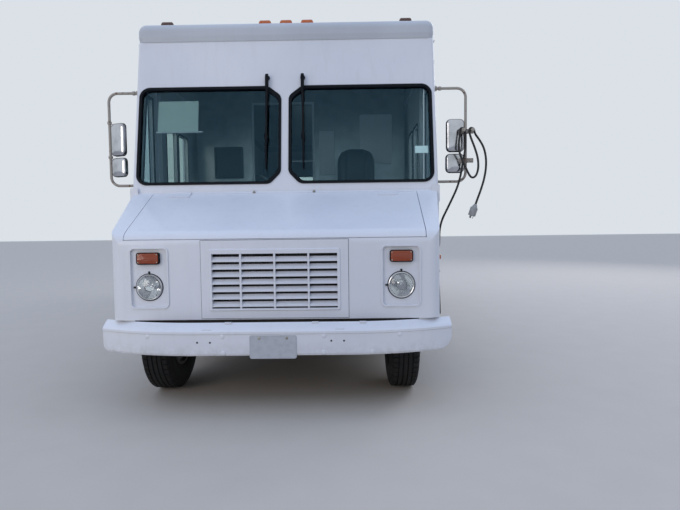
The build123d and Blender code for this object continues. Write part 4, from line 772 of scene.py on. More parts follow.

# %% [markdown]
# ## Signal lamps and roof markers
# Each turn signal is a deep amber lens in a thin dark rim, held by four screws. The five lamps on the
# roof are domed lenses on thin rubber pads that keep the rain out. The outer two are darker: their
# amber has gone brown in the sun, and the rest of their darkness is painted shade. A small side marker
# stands on each flank of the nose.

# %% Lenses, rims, screws and pads
SIGNAL_Z, SIGNAL_LIFT = 1.027, 0.028
SIGNAL_RIB_HALF, SIGNAL_RIB_STEP = 0.058, 0.007
MARKER_Y = -2.446
SIGNAL_PROFILE = [(0, 0), (0, 0.023), (0.0015, 0.0265), (0.004, SIGNAL_LIFT)]
FLANK_PROFILE = [(0, 0.004), (0, 0.016), (0.002, 0.022), (0.006, 0.026), (0.012, 0.0275)]
ROOF_PROFILE = [(0, 0.003), (0.001, 0.014), (0.004, 0.024), (0.009, 0.032), (0.015, 0.0365), (0.021, 0.038)]
rims = piece("lamp_rims", window_rubber, bevel=0.001)
signal_screws = piece("signal_screws", zinc)
signals = piece("signal_lenses", amber_lens)
markers = piece("marker_lenses", orange_lens, smooth=50)
browned_and_shaded = piece("browned_shaded_marker_lenses", browned_shaded_lens, smooth=50)
for name, side in SIDES:
    spot = Vector((side * LAMP_X, LAMP_FIELD_Y, SIGNAL_Z))
    add_frame(rims, (0.153, 0.080, 0.016), (0.141, 0.068, 0.011), spot, X, Z, 0.025)
    add_dome(signals, (0.142, 0.069, 0.011), SIGNAL_PROFILE, spot, X, Z)
    for number in range(-4, 5):
        middle = spot + Vector((0, 0.0003 - SIGNAL_LIFT, SIGNAL_RIB_STEP * number))
        add_tube(signals, [middle - SIGNAL_RIB_HALF * X, middle + SIGNAL_RIB_HALF * X], 0.0016, 6)
    for shift_x in (-0.0628, 0.0628):
        for shift_z in (-0.0260, 0.0260):
            add_turned(signal_screws, [(0.0042, -0.002), (0.0042, 0.0012), (0.0025, 0.0022), (0, 0.0026)],
                       spot + Vector((shift_x, -SIGNAL_LIFT, shift_z)), -Y, 14)
    flank = Vector((side * 0.090, 0.625, 0)).normalized()
    flank_spot = Vector((side * 1.095, NOSE_Y, 0.990)) + flank * 0.500
    add_dome(rims, (0.078, 0.044, 0.012), [(0, 0), (0, 0.005)], flank_spot, side * flank, Z)
    add_dome(markers, (0.070, 0.036, 0.010), FLANK_PROFILE, flank_spot, side * flank, Z)
for x in (-0.985, -0.174, 0, 0.174, 0.985):
    spot = (x, MARKER_Y, ROOF_TOP_Z)
    add_dome(rims, (0.124, 0.064, 0.024), [(0, 0), (0, 0.003), (0.002, 0.004)], spot, X, Y)
    # The outer two get the darker lens: old amber gone brown, and painted shade.
    add_dome(browned_and_shaded if abs(x) > 0.5 else markers, (0.108, 0.052, 0.020), ROOF_PROFILE, spot, X, Y)
made = finish_pieces()
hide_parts("amber_lamps")

# %% [markdown]
# ## Bumper bolts, drilled holes and the blank plate
# The bumper is held by carriage bolts whose round heads were painted over with it. Two pairs of
# drilled holes are left from something that was taken off; each hole is a flat black disc, which is
# painted shade. The plate is pressed aluminium with a raised edge. It stays blank, because a part like
# this carries nobody's number.

# %% Bumper fittings
BUMPER_FACE_Y = FRONT_Y + 0.005
BOW_START, BOW_RADIUS = 0.500, 1.500
BOLT_PLACES = ((-0.828, 0.523), (-0.329, 0.524), (-0.322, 0.418), (0.328, 0.524), (0.326, 0.418),
               (0.819, 0.524), (0.643, 0.418))
HOLE_PLACES = ((-0.491, 0.487), (-0.408, 0.486), (0.375, 0.492), (0.457, 0.492))
TAB_PLACES = (0.270, 0.581, -0.300)
PLATE_Z, PLATE_BOLT_X, PLATE_BOLT_Z = 0.455, 0.089, 0.512
EDGE_SHADOW_OUTER, EDGE_SHADOW_INNER = (0.4930, 0.2630), (0.4904, 0.2604)


def bumper_face(x):
    """The bumper's face at a place across the van, and the way that it looks there."""
    run = max(abs(x) - BOW_START, 0)
    drop = BOW_RADIUS - math.sqrt(BOW_RADIUS ** 2 - run ** 2)
    return BUMPER_FACE_Y + drop, Vector((math.copysign(run / BOW_RADIUS, x), -1, 0)).normalized()


heads = piece("bumper_bolt_heads", white_enamel, bevel=0.002)
for x, z in BOLT_PLACES:
    face_y, outward = bumper_face(x)
    add_turned(heads, [(0.0155, -0.002), (0.0155, 0.0008), (0.0125, 0.0031), (0.007, 0.0043), (0, 0.0047)],
               (x, face_y, z), outward, 24)
for x in TAB_PLACES:
    add_block(heads, (x - 0.022, -3.452, 0.598), (x + 0.022, -3.438, 0.609))
# Each drilled hole is a flat black disc: painted shade inside the hole.
hole_shade_discs = piece("bumper_hole_shade_discs", moulded_black)
for x, z in HOLE_PLACES:
    add_turned(hole_shade_discs, [(0.0065, -0.003), (0.0065, 0.0006)], (x, BUMPER_FACE_Y, z), -Y, 20)
plate = piece("blank_plate", plate_metal, bevel=0.0006)
add_plate(plate, (0.305, 0.152, 0.014), (0, BUMPER_FACE_Y - 0.0005, PLATE_Z), X, Z, 0.0015)
add_frame(plate, (0.301, 0.148, 0.013), (0.291, 0.138, 0.010),
          (0, BUMPER_FACE_Y - 0.0020, PLATE_Z), X, Z, 0.0014)
plate_bolts = piece("plate_bolts", zinc, bevel=0.0005)
for x in (-PLATE_BOLT_X, PLATE_BOLT_X):
    add_turned(plate_bolts,
               [(0.010, 0.0), (0.010, 0.0038), (0.0075, 0.0044), (0.0065, 0.0048), (0.004, 0.0049)],
               (x, BUMPER_FACE_Y, PLATE_BOLT_Z), -Y, 6)
# A thin black outline round the grille panel: painted shadow of the panel's raised edge.
seam = piece("grille_panel_edge_shadow", moulded_black)
edge_shadow_lines = [box_outline(-half_u, -half_v, half_u, half_v) for half_u, half_v in (EDGE_SHADOW_OUTER, EDGE_SHADOW_INNER)]
add_frame(seam, *edge_shadow_lines, (0, NOSE_Y + 0.0005, 0.882), X, Z, 0.0010)
# A black sheet behind the gap between the nose and the bumper: painted shade in the gap.
gap_shade_sheet = piece("bumper_gap_shade_sheet", chassis_black)
add_block(gap_shade_sheet, (-0.960, NOSE_Y + 0.040, 0.470), (0.960, NOSE_Y + 0.043, 0.650))
add_block(gap_shade_sheet, (-0.960, NOSE_Y + 0.025, 0.470), (0.960, NOSE_Y + 0.043, 0.473))
finish_pieces()

# %% [markdown]
# ## Hood hinges, washer nozzles and the channel round the hood
# The hood's two hinges are surface hinges that were painted over, with two small washer nozzles
# between them. Under the gap round the hood lies a painted rain channel, which is why the
# gap looks like a soft grey line and not like a black one.

# %% Cowl fittings
HOOD_FRONT_HALF, HOOD_REAR_HALF = 1.003, 1.024
HOOD_FRONT_Z, HOOD_REAR_Z, HOOD_RUN = 1.180, 1.492, 0.600
CHANNEL_START_Y, CHANNEL_STOP_Y = NOSE_Y + 0.11, COWL_Y - 0.030
CHANNEL_CORNER = ((0.004, 0.030, 1.150), (0.0045, 0.036, 1.168), (0.0045, 0.060, 1.190))  # out, back, height
hinges = piece("hood_hinge_screws", white_enamel)
for x in (-0.800, 0.800):
    for shift in (-0.045, 0, 0.045):
        add_turned(hinges, [(0.006, 0), (0.006, 0.002), (0.003, 0.0035), (0, 0.004)],
                   (x + shift, -2.7515, 1.5045), (0, -0.5, 1), 14)
nozzles = piece("washer_nozzles", zinc)
for x in (-0.238, 0.231):
    add_turned(nozzles,
               [(0.012, -0.003), (0.012, 0.003), (0.007, 0.006), (0.006, 0.012), (0.003, 0.015), (0, 0.0155)],
               (x, -2.757, 1.5005), (0, -0.35, 1), 20)
channel = piece("hood_rain_channel", white_enamel)
for name, side in SIDES:
    path = []
    for share in (0.0, 0.35, 0.7, 1.0):
        y = CHANNEL_START_Y + share * (CHANNEL_STOP_Y - CHANNEL_START_Y)
        x = HOOD_FRONT_HALF + (HOOD_REAR_HALF - HOOD_FRONT_HALF) * (y - NOSE_Y) / (COWL_Y - NOSE_Y)
        z = HOOD_FRONT_Z + (y - NOSE_Y) * (HOOD_REAR_Z - HOOD_FRONT_Z) / HOOD_RUN - 0.030
        path.append((side * (x + 0.0045), y, z))
    add_tube(channel, path, 0.007, 8)
    corner = [(side * (HOOD_FRONT_HALF + out), NOSE_Y + back, z) for out, back, z in CHANNEL_CORNER]
    add_tube(channel, corner, 0.006, 8)
add_tube(channel, [(x, NOSE_Y + 0.021, 1.1505) for x in (-HOOD_FRONT_HALF, HOOD_FRONT_HALF)], 0.006, 8)
finish_pieces()

# %% [markdown]
# ## Wipers
# Each arm hangs from a pivot above its pane. A spring box near the pivot presses it to the glass, and
# the long blade is held at its middle. The forms are straps whose width changes along their length.

# %% Build the wipers
WIPER_PIVOT_Z = 2.425
ARM_STATIONS = (  # place across, height, lift off the wall, half width, half thickness
    (0.142, 2.445, 0.034, 0.011, 0.006), (0.142, WIPER_PIVOT_Z, 0.036, 0.014, 0.008),
    (0.142, 2.340, 0.036, 0.013, 0.009), (0.142, 2.325, 0.034, 0.009, 0.005),
    (0.145, 2.10, 0.034, 0.0075, 0.0035), (0.145, 1.930, 0.033, 0.0065, 0.003),
)
BLADE_STATIONS = (
    (0.147, 2.140, 0.014, 0.004, 0.003), (0.147, 2.05, 0.020, 0.006, 0.003),
    (0.147, 1.915, 0.026, 0.007, 0.004), (0.147, 1.78, 0.020, 0.006, 0.003),
    (0.147, 1.690, 0.014, 0.004, 0.003),
)
EDGE_STATIONS = ((0.147, 2.148, 0.0095, 0.0035, 0.005), (0.147, 1.682, 0.0095, 0.0035, 0.005))


def on_shield(x, z, lift):
    """A point this far off the windshield wall."""
    return Vector((x, shield_y(z), z)) + SHIELD_OUT * lift


wiper = piece("wiper_arms_and_blades", window_rubber, bevel=0.001, slot="black_plastic")
for name, side in SIDES:
    add_turned(wiper,
               [(0.020, -0.002), (0.020, 0.010), (0.015, 0.014), (0.013, 0.040), (0.009, 0.047), (0, 0.048)],
               on_shield(side * 0.142, WIPER_PIVOT_Z, 0), SHIELD_OUT, 20)
    clip = on_shield(side * 0.145, 1.935, 0.030)
    add_block(wiper, clip - Vector((0.013, 0.010, 0.020)), clip + Vector((0.013, 0.008, 0.020)))
    for stations in (ARM_STATIONS, BLADE_STATIONS, EDGE_STATIONS):
        add_strap(wiper, [(on_shield(side * x, z, lift), half_width, half_thick)
                          for x, z, lift, half_width, half_thick in stations], X, SHIELD_OUT)
made = finish_pieces()
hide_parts("wipers")

# %% [markdown]
# ## Mirrors
# Each head is a polished steel pan with a soft black edge and a mirror glass on the side that faces
# the driver. The left pair is square to the road. The right pair is turned in, because the driver
# looks at it from across the cab.

# %% Mirror pans, edges, glasses, collars and nuts
PAN_PROFILE = [(0, -0.0195), (0, 0.0030), (0.0022, 0.0075), (0.0060, 0.0105), (0.0130, 0.0136),
               (0.0230, 0.0162), (0.0360, 0.0183), (0.0500, 0.0195), (0.0620, 0.0199)]
MIRROR_SIZES = ((1.959, 0.145, 0.262), (1.734, 0.150, 0.152))  # middle height, width, height
RIGHT_TURN_IN = math.radians(23)
UPPER_CLAMP_Z, LOWER_CLAMP_Z = 2.338, 1.585
pans = piece("mirror_pans", polished_steel, smooth=40)
edges = piece("mirror_rubber_edges", window_rubber, bevel=0.0012)
glasses = piece("mirror_glasses", mirror_glass)
collars = piece("mirror_collars", rusty_tube, bevel=0.001)
nuts = piece("mirror_nuts", zinc, bevel=0.0008)
for side, turn_in in ((1, 0.0), (-1, RIGHT_TURN_IN)):
    across = Vector((math.cos(turn_in), side * math.sin(turn_in), 0))
    backward = Vector((side * math.sin(turn_in), -math.cos(turn_in), 0))
    reach = 0.011 / math.cos(turn_in) + 0.0003
    for middle_z, width, tall in MIRROR_SIZES:
        centre = Vector((side * (MIRROR_X - reach), MIRROR_Y, middle_z)) - across * side * width / 2
        glass_shape = (width - 0.012, tall - 0.012, 0.029)
        add_dome(pans, (width - 0.002, tall - 0.002, 0.034), PAN_PROFILE, centre, across, Z)
        add_frame(edges, (width + 0.001, tall + 0.005, 0.036), glass_shape, centre - backward * 0.0215,
                  across, Z, 0.0085)
        add_frame(edges, (width, tall + 0.001, 0.034), (width - 0.006, tall - 0.006, 0.031),
                  centre + backward * 0.0015, across, Z, 0.0035)
        add_plate(glasses, glass_shape, centre - backward * 0.0205, across, Z, 0.0012)
    for z in (UPPER_CLAMP_Z, LOWER_CLAMP_Z):
        add_turned(collars, [(0.034, 0), (0.034, 0.005), (0.020, 0.008), (0.018, 0.024), (0.0115, 0.026)],
                   (side * BODY_HALF, MIRROR_Y, z), side * X, 28)
        for shift in (-0.024, 0.024):
            add_turned(nuts, [(0.0055, 0.004), (0.0055, 0.009), (0.003, 0.011)],
                       (side * BODY_HALF, MIRROR_Y, z + shift), side * X, 6)
    add_turned(collars, [(0.0165, -0.010), (0.0165, 0.010)], (side * 1.250, MIRROR_Y, UPPER_CLAMP_Z),
               side * X, 20)
for x in (1.423, 1.497):
    for y in (-2.566, -2.622):
        add_turned(nuts, [(0.0165, 0), (0.0165, 0.009), (0.014, 0.010)], (x, y, 1.986), -Y, 6)
made = finish_pieces()
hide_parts("mirror_heads")

# %% [markdown]
# ## Behind the windshield
# A card stands behind the passenger's pane on a thin ledge, and a small pale sticker is on the
# driver's side. Both are blank here. The sealed beams' neighbour behind the grille is the radiator:
# without it the louvres would show daylight.

# %% Card, ledge, sticker and radiator
CARD_X, CARD_Z = -0.866, 2.004
STICKER_X, STICKER_Z = 1.080, 1.828
card = piece("blank_window_card", faded_card)
card_foot = (CARD_X, shield_y(CARD_Z) + 0.040, CARD_Z)
add_plate(card, box_outline(-0.162, 0, 0.162, 0.254), card_foot, X, SHIELD_UP, 0.003)
ledge = piece("card_ledge", white_enamel, bevel=0.001)
add_block(ledge, (-1.036, shield_y(1.998) + 0.026, 1.992), (-0.664, shield_y(1.998) + 0.056, CARD_Z))
sticker = piece("blank_window_sticker", pale_sticker)
sticker_place = (STICKER_X, shield_y(STICKER_Z) + 0.0165, STICKER_Z)
add_plate(sticker, (0.103, 0.058, 0.003), sticker_place, X, SHIELD_UP, 0.0008)
radiator = piece("radiator_core", chassis_black)
add_block(radiator, (-0.46, -3.235, 0.585), (0.46, -3.180, 1.085))
for x in spaced(-0.44, 0.44, 0.88 / 43):
    add_block(radiator, (x - 0.0016, -3.243, 0.60), (x + 0.0016, -3.235, 1.07))
finish_pieces()

# %% [markdown]
# ## Rivets, cover strips and the drip rail
# A walk-in body is aluminium sheet riveted to posts. Each joint between two sheets is covered by a
# strip with a row of domed rivets on each side, and a small gutter runs under the roof. The rivets
# are what makes a plain wall read as a van, so they are real domes and not a bump texture.

# %% The side walls' strips and rivets
STRIP_HALF, STRIP_LOW_Z, STRIP_HIGH_Z = 0.024, 0.930, 2.738
STRIP_PLACES = {1: (-0.700, 0.350, 1.960, 2.700), -1: (-0.700, 1.400, 2.400)}
GUTTER = [(0, 0), (0.016, -0.004), (0.018, 0.004), (0.0155, 0.004), (0.0135, 0.000), (0.0, 0.006)]
GUTTER_RUN = 5.780
DOOR_DRIP = (-2.300, -1.440, 2.497)  # start, stop, height
HATCH_DRIP = (-0.660, 1.340, 2.415)
strips = piece("wall_cover_strips", side_enamel, bevel=0.0008)
rivets = piece("wall_rivets", side_enamel, smooth=60)
for side, places in STRIP_PLACES.items():
    face_x = side * BODY_HALF
    for y in places:
        add_block(strips, (face_x, y - STRIP_HALF, STRIP_LOW_Z),
                  (face_x + side * 0.0022, y + STRIP_HALF, STRIP_HIGH_Z))
        for shift in (-0.014, 0.014):
            column = [(face_x + side * 0.002, y + shift, z) for z in spaced(STRIP_LOW_Z + 0.03, 2.70, 0.085)]
            add_rivets(rivets, column, side * X)
    rows = [(y, 2.712) for y in spaced(-2.42, 3.30, 0.11)]
    rows += [(y, 0.505) for y in spaced(-1.42, 0.62, 0.16) + spaced(1.72, 3.30, 0.16)]
    rows += [(y, z) for y in (3.300, 3.328) for z in spaced(0.53, 2.69, 0.09)]
    rows += [(y, z) for y in (-2.275, -1.465) for z in spaced(0.56, 2.46, 0.12)]
    add_rivets(rivets, [(face_x, y, z) for y, z in rows], side * X)
    rub_rail = spaced(-0.64, 1.08, 0.245) + spaced(1.26, 3.24, 0.248)
    add_rivets(rivets, [(face_x + side * 0.009, y, 0.900) for y in rub_rail], side * X, 0.008)
    add_plate(strips, GUTTER, (face_x, -2.480, 2.7395), side * X, Z, -side * GUTTER_RUN)
    for start, stop, height in (DOOR_DRIP,) if side > 0 else (DOOR_DRIP, HATCH_DRIP):
        for out, low, high in ((0.020, 0, 0.004), (0.006, 0.003, 0.016)):
            add_block(strips, (face_x, start, height + low), (face_x + side * out, stop, height + high))
finish_pieces()

# %% The arches' rubber lips and the wheel housings
ARCH_RADIUS = 0.487
HOUSING_INNER, HOUSING_OUTER = 0.478, 0.481
LIPS = ((REAR_AXLE_Y, 11.5, 168.5, 40), (FRONT_AXLE_Y, 28.5, 98.0, 18), (FRONT_AXLE_Y, 99.4, 168.5, 18))
HOUSINGS = (  # axle, first and last angle, inner and outer place across
    (REAR_AXLE_Y, 8, 68, 0.560, 1.160), (REAR_AXLE_Y, 112, 172, 0.560, 1.160),
    (FRONT_AXLE_Y, 32, 66, 0.620, 1.060), (FRONT_AXLE_Y, 114, 168, 0.620, 0.860),
)


def body_side_x(y):
    """How far the body's side stands from the middle, at a place along it."""
    return BODY_HALF if y >= COWL_Y else 1.095 + 0.090 * (y - NOSE_Y) / (COWL_Y - NOSE_Y)


def arch_places(axle_y, radius, start, stop, steps):
    """Places (y, z) round an axle between two angles."""
    angles = [math.radians(start + (stop - start) * step / steps) for step in range(steps + 1)]
    return [(axle_y - radius * math.cos(angle), AXLE_Z + radius * math.sin(angle)) for angle in angles]


lips = piece("arch_rubber_lips", window_rubber)
housings = piece("wheel_housings", chassis_black, bevel=0.0005)
for name, side in SIDES:
    for axle_y, start, stop, steps in LIPS:
        places = arch_places(axle_y, ARCH_RADIUS, start, stop, steps)
        add_tube(lips, [(side * (body_side_x(y) + 0.002), y, z) for y, z in places], 0.008, 8)
    for axle_y, start, stop, inner_x, outer_x in HOUSINGS:
        steps = round((stop - start) / 5)
        near = arch_places(axle_y, HOUSING_INNER, start, stop, steps)
        far = arch_places(axle_y, HOUSING_OUTER, start, stop, steps)
        low_x, high_x = sorted((side * inner_x, side * outer_x))
        add_plate(housings, near + far[::-1], (low_x, 0, 0), Y, Z, high_x - low_x)
finish_pieces()

# %% [markdown]
# ## Cab doors
# The doors slide back inside the walls, so nothing on them may stand out where the wall passes. That
# leaves a thin rubber seal round each pane, shallow pressed panels, and one upright pull bar at the
# front edge, which stops just before the wall's edge when the door is open.

# %% Door seals, panels, pull bars and the quarter windows' seals
DOOR_FACE_X, PANE_Z = 1.155, 1.765
PULL_Y, PULL_LOW_Z, PULL_HIGH_Z = -2.2315, 1.120, 1.420


def quarter_outline(grow, side):
    """The quarter window's outline in the side view, grown by a width."""
    low, high, rear = 1.600 - grow, 2.330 + grow, -2.360 + grow
    corners = ((shield_y(low) + 0.115 - grow, low), (rear, low), (rear, high),
               (shield_y(high) + 0.115 - grow, high))
    return [(side * y, z) for y, z in corners]


def handle_line(face, side, y, low_z, high_z, reach):
    """The line of an upright bar handle on a side face."""
    out = face + side * reach
    return [(face, y, low_z), (out, y, low_z), (out, y, high_z), (face, y, high_z)]


quarter_seals = piece("quarter_window_seals", window_rubber, bevel=0.0012)
for name, side in SIDES:
    face, door = side * DOOR_FACE_X, f"cab_door_{name}"
    seals = piece(f"cab_door_seals_{name}", window_rubber, door)
    for pane_y in (-2.0325, -1.7075):
        for lift in (0.0, -0.0375):
            add_frame(seals, (0.301, 0.752, 0.040), (0.262, 0.716, 0.024),
                      (face + side * lift, pane_y, PANE_Z), side * Y, Z, 0.0025)
    panels = piece(f"cab_door_pressings_{name}", side_enamel, door, bevel=0.001)
    for middle_z in (0.765, 1.145):
        add_frame(panels, (0.640, 0.330, 0.030), (0.610, 0.300, 0.018),
                  (face, -1.870, middle_z), side * Y, Z, 0.0022)
    add_block(panels, (face, -2.245, 0.524), (face + side * 0.0018, -1.495, 0.580))
    pulls = piece(f"cab_door_pull_{name}", polished_steel, door)
    add_tube(pulls, bent(handle_line(face, side, PULL_Y, PULL_LOW_Z, PULL_HIGH_Z, 0.034), 0.016), 0.0062, 10)
    for z in (PULL_LOW_Z, PULL_HIGH_Z):
        add_turned(pulls, [(0.012, 0), (0.012, 0.003), (0.008, 0.005)], (face, PULL_Y, z), side * X, 16)
    add_turned(pulls, [(0.011, 0), (0.011, 0.003), (0.009, 0.0035)], (face, PULL_Y, 1.050), side * X, 20)
    for plane_x, depth in ((side * BODY_HALF, 0.004), (side * INNER_HALF, -0.004)):
        add_frame(quarter_seals, quarter_outline(0.012, side), quarter_outline(-0.014, side), (plane_x, 0, 0),
                  side * Y, Z, depth)
finish_pieces()

# %% Grab handles, fuel filler and the fitting under the roof
GRAB_Y, GRAB_LOW_Z, GRAB_HIGH_Z = -1.425, 1.120, 1.640
FILLER_PLACE = (BODY_HALF, -0.350, 0.720)
handles = piece("body_grab_handles", polished_steel)
for name, side in SIDES:
    face = side * BODY_HALF
    line = handle_line(face, side, GRAB_Y, GRAB_LOW_Z, GRAB_HIGH_Z, 0.058)
    add_tube(handles, bent(line, 0.028), 0.0115, 14)
    for z in (GRAB_LOW_Z, GRAB_HIGH_Z):
        add_turned(handles, [(0.030, 0), (0.030, 0.004), (0.018, 0.007), (0.0135, 0.012)],
                   (face, GRAB_Y, z), side * X, 24)
filler = piece("fuel_filler", moulded_black, bevel=0.001)
add_turned(filler, [(0.066, 0), (0.066, 0.004), (0.060, 0.006)], FILLER_PLACE, X, 36)
add_turned(filler, [(0.046, 0.002), (0.046, 0.022), (0.040, 0.028), (0, 0.029)], FILLER_PLACE, X, 36)
add_block(filler, (1.228, -0.358, 0.682), (1.238, -0.342, 0.758))
add_block(filler, (BODY_HALF, -2.452, 2.560), (BODY_HALF + 0.016, -2.430, 2.590))
finish_pieces()

# %% [markdown]
# ## Serving hatch and shelf
# The hatch is a panel cut from the wall, edged with an aluminium angle and held by two T-handles. Its
# inner side, which customers see when it is open, has a stiffening frame. The shelf below it is
# stainless sheet with a rolled front edge.

# %% Hatch trim, latches, inner frame and shelf edge
HATCH_MIDDLE_Y, HATCH_Z, LATCH_Z = 0.340, 1.930, 1.560
INNER_BARS = (  # low y, high y, low z, high z
    (-0.585, 1.265, 1.492, 1.532), (-0.585, 1.265, 2.318, 2.358), (-0.585, -0.545, 1.532, 2.318),
    (1.225, 1.265, 1.532, 2.318), (0.320, 0.360, 1.532, 2.318),
)
trim = piece("hatch_trim", brushed_steel, bevel=0.0008)
add_frame(trim, box_outline(-0.984, -0.476, 0.984, 0.484), box_outline(-0.953, -0.452, 0.953, 0.460),
          (-BODY_HALF, HATCH_MIDDLE_Y, HATCH_Z), -Y, Z, 0.0030)
trim_rivets = [(shift, z) for z in (1.466, 2.402) for shift in spaced(-0.94, 0.94, 0.12)]
trim_rivets += [(shift, z) for shift in (-0.969, 0.969) for z in spaced(1.50, 2.36, 0.12)]
add_rivets(trim, [(-BODY_HALF - 0.003, HATCH_MIDDLE_Y + shift, z) for shift, z in trim_rivets], -X, 0.005)
latches = piece("hatch_latches", polished_steel, "serving_hatch", bevel=0.0008)
for y in (-0.350, 1.030):
    add_plate(latches, (0.062, 0.110, 0.012), (-BODY_HALF, y, LATCH_Z), -Y, Z, 0.004)
    add_turned(latches, [(0.017, 0.003), (0.017, 0.016), (0.012, 0.018)], (-BODY_HALF, y, LATCH_Z), -X, 20)
    add_tube(latches, [(-BODY_HALF - 0.024, y + reach, LATCH_Z) for reach in (-0.048, 0.048)], 0.0075, 12)
    corners = [(-BODY_HALF - 0.004, y + a, LATCH_Z + b) for a in (-0.021, 0.021) for b in (-0.045, 0.045)]
    add_rivets(latches, corners, -X, 0.004)
add_frame(latches, (1.780, 0.640, 0.030), (1.750, 0.610, 0.018),
          (-BODY_HALF, HATCH_MIDDLE_Y, 1.970), -Y, Z, 0.0022)
inner_frame = piece("hatch_inner_frame", brushed_steel, "serving_hatch", bevel=0.0015)
for low_y, high_y, low_z, high_z in INNER_BARS:
    add_block(inner_frame, (-INNER_HALF, low_y, low_z), (-1.151, high_y, high_z))
shelf_edge = piece("shelf_edge", brushed_steel, "service_shelf", bevel=0.0008)
add_tube(shelf_edge, [(-1.2155, y, 1.131) for y in (-0.555, 1.235)], 0.0112, 12)
add_block(shelf_edge, (-1.2270, -0.555, 1.388), (-1.2253, 1.235, 1.424))
add_rivets(shelf_edge, [(-1.2270, y, 1.406) for y in spaced(-0.52, 1.20, 0.172)], -X, 0.0055)
finish_pieces()

# %% [markdown]
# ## The back
# The rear doors have rubber seals, a handle that works two long rods, and bolted strap hinges. Round
# them are a gutter, the lamps' chrome rims, reflectors, and a step with a grip pattern.

# %% Rear door seals, rods and hinge bolts
DOOR_MIDDLE_X, ROD_X, HANDLE_Z = 0.350, 0.045, 1.550
for name, side in SIDES:
    seals = piece(f"rear_door_seals_{name}", window_rubber, f"rear_door_{name}")
    for lift in (0.0, -0.0435):
        add_frame(seals, (0.412, 0.582, 0.054), (0.362, 0.532, 0.032),
                  (side * DOOR_MIDDLE_X, REAR_Y + lift, 1.975), -X, Z, 0.0035)
    add_frame(seals, (0.530, 0.560, 0.030), (0.500, 0.530, 0.018),
              (side * DOOR_MIDDLE_X, REAR_Y, 1.260), -X, Z, 0.0022)
    bolts = piece(f"rear_hinge_bolts_{name}", zinc, f"rear_door_{name}")
    for hinge_z in (1.050, 1.715, 2.380):
        for x in (0.676, 0.646):
            for shift_z in (-0.038, 0, 0.038):
                add_turned(bolts, [(0.0085, 0), (0.0085, 0.005), (0.006, 0.006)],
                           (side * x, REAR_Y + 0.007, hinge_z + shift_z), Y, 6)
rods = piece("rear_door_rods", zinc, "rear_door_left", bevel=0.0008)
for low_z, high_z in ((0.905, 1.500), (1.600, 2.520)):
    add_tube(rods, [(ROD_X, REAR_Y + 0.017, z) for z in (low_z, high_z)], 0.0075, 12)
for z in (0.960, 1.300, 1.800, 2.150, 2.480):
    add_block(rods, (0.028, REAR_Y, z - 0.018), (0.062, REAR_Y + 0.012, z + 0.018))
add_plate(rods, (0.090, 0.200, 0.016), (0.055, REAR_Y + 0.0005, HANDLE_Z), -X, Z, 0.005)
add_turned(rods, [(0.022, 0.004), (0.022, 0.030), (0.016, 0.034)], (ROD_X, REAR_Y, HANDLE_Z), Y, 24)
lever = [(ROD_X, REAR_Y + 0.026, HANDLE_Z), (0.080, REAR_Y + 0.040, 1.545), (0.215, REAR_Y + 0.040, 1.530)]
add_tube(rods, bent(lever, 0.02), 0.009, 12)
finish_pieces()

# %% Rivets, gutter, step and lamp rims of the back
rear_trim = piece("rear_rivets_and_gutter", side_enamel, smooth=60)
rear_rows = [(x, z) for x in (-1.150, 1.150, -0.760, 0.760) for z in spaced(0.62, 2.66, 0.10)]
rear_rows += [(x, z) for z in (2.610, 2.712) for x in spaced(-1.10, 1.10, 0.11)]
add_rivets(rear_trim, [(x, REAR_Y, z) for x, z in rear_rows], Y)
add_block(rear_trim, (-0.760, REAR_Y, 2.578), (0.760, REAR_Y + 0.024, 2.583))
add_block(rear_trim, (-0.760, REAR_Y + 0.021, 2.583), (0.760, REAR_Y + 0.024, 2.592))
rear_grip = piece("rear_step_grip", tread_plate, bevel=0.0006)
for y, shift, degrees in ((3.410, 0, -45), (3.440, 0.0255, 45), (3.470, 0, -45)):
    for x in spaced(-1.02, 1.02, 0.051):
        add_block(rear_grip, (x + shift - 0.014, y - 0.003, 0.5595), (x + shift + 0.014, y + 0.003, 0.5625),
                  Matrix.Rotation(math.radians(degrees), 3, "Z"))
add_block(rear_grip, (-1.060, 3.395, 0.5590), (1.060, 3.485, 0.5605))
lamp_rims = piece("tail_lamp_rims", chrome, slot="stainless")
reflectors = piece("rear_reflectors", red_lens)
for x in (-1.080, 1.080):
    for z in (1.000, 1.120):
        add_turned(lamp_rims, [(0.051, 0), (0.060, 0), (0.060, 0.010), (0.054, 0.016), (0.051, 0.014)],
                   (x, REAR_Y, z), Y, 40, looped=True)
        for shift_x, shift_z in around(3, 0.041, 0.25):
            add_turned(lamp_rims, [(0.004, 0.026), (0.004, 0.029), (0, 0.030)],
                       (x + shift_x, REAR_Y, z + shift_z), Y, 12)
    add_turned(reflectors, [(0.038, 0), (0.038, 0.006), (0.033, 0.009), (0, 0.010)],
               (x, REAR_Y, 0.870), Y, 36)
finish_pieces()

# %% [markdown]
# ## Roof
# The roof's sheets meet in riveted laps, and a spun aluminium fan cowl stands over the cook line. Rain
# dulls this paint to chalk, so its enamel is rougher than the walls'. Its colour is greyer too: partly
# chalk, and partly painted shade for the roof's darker front band.

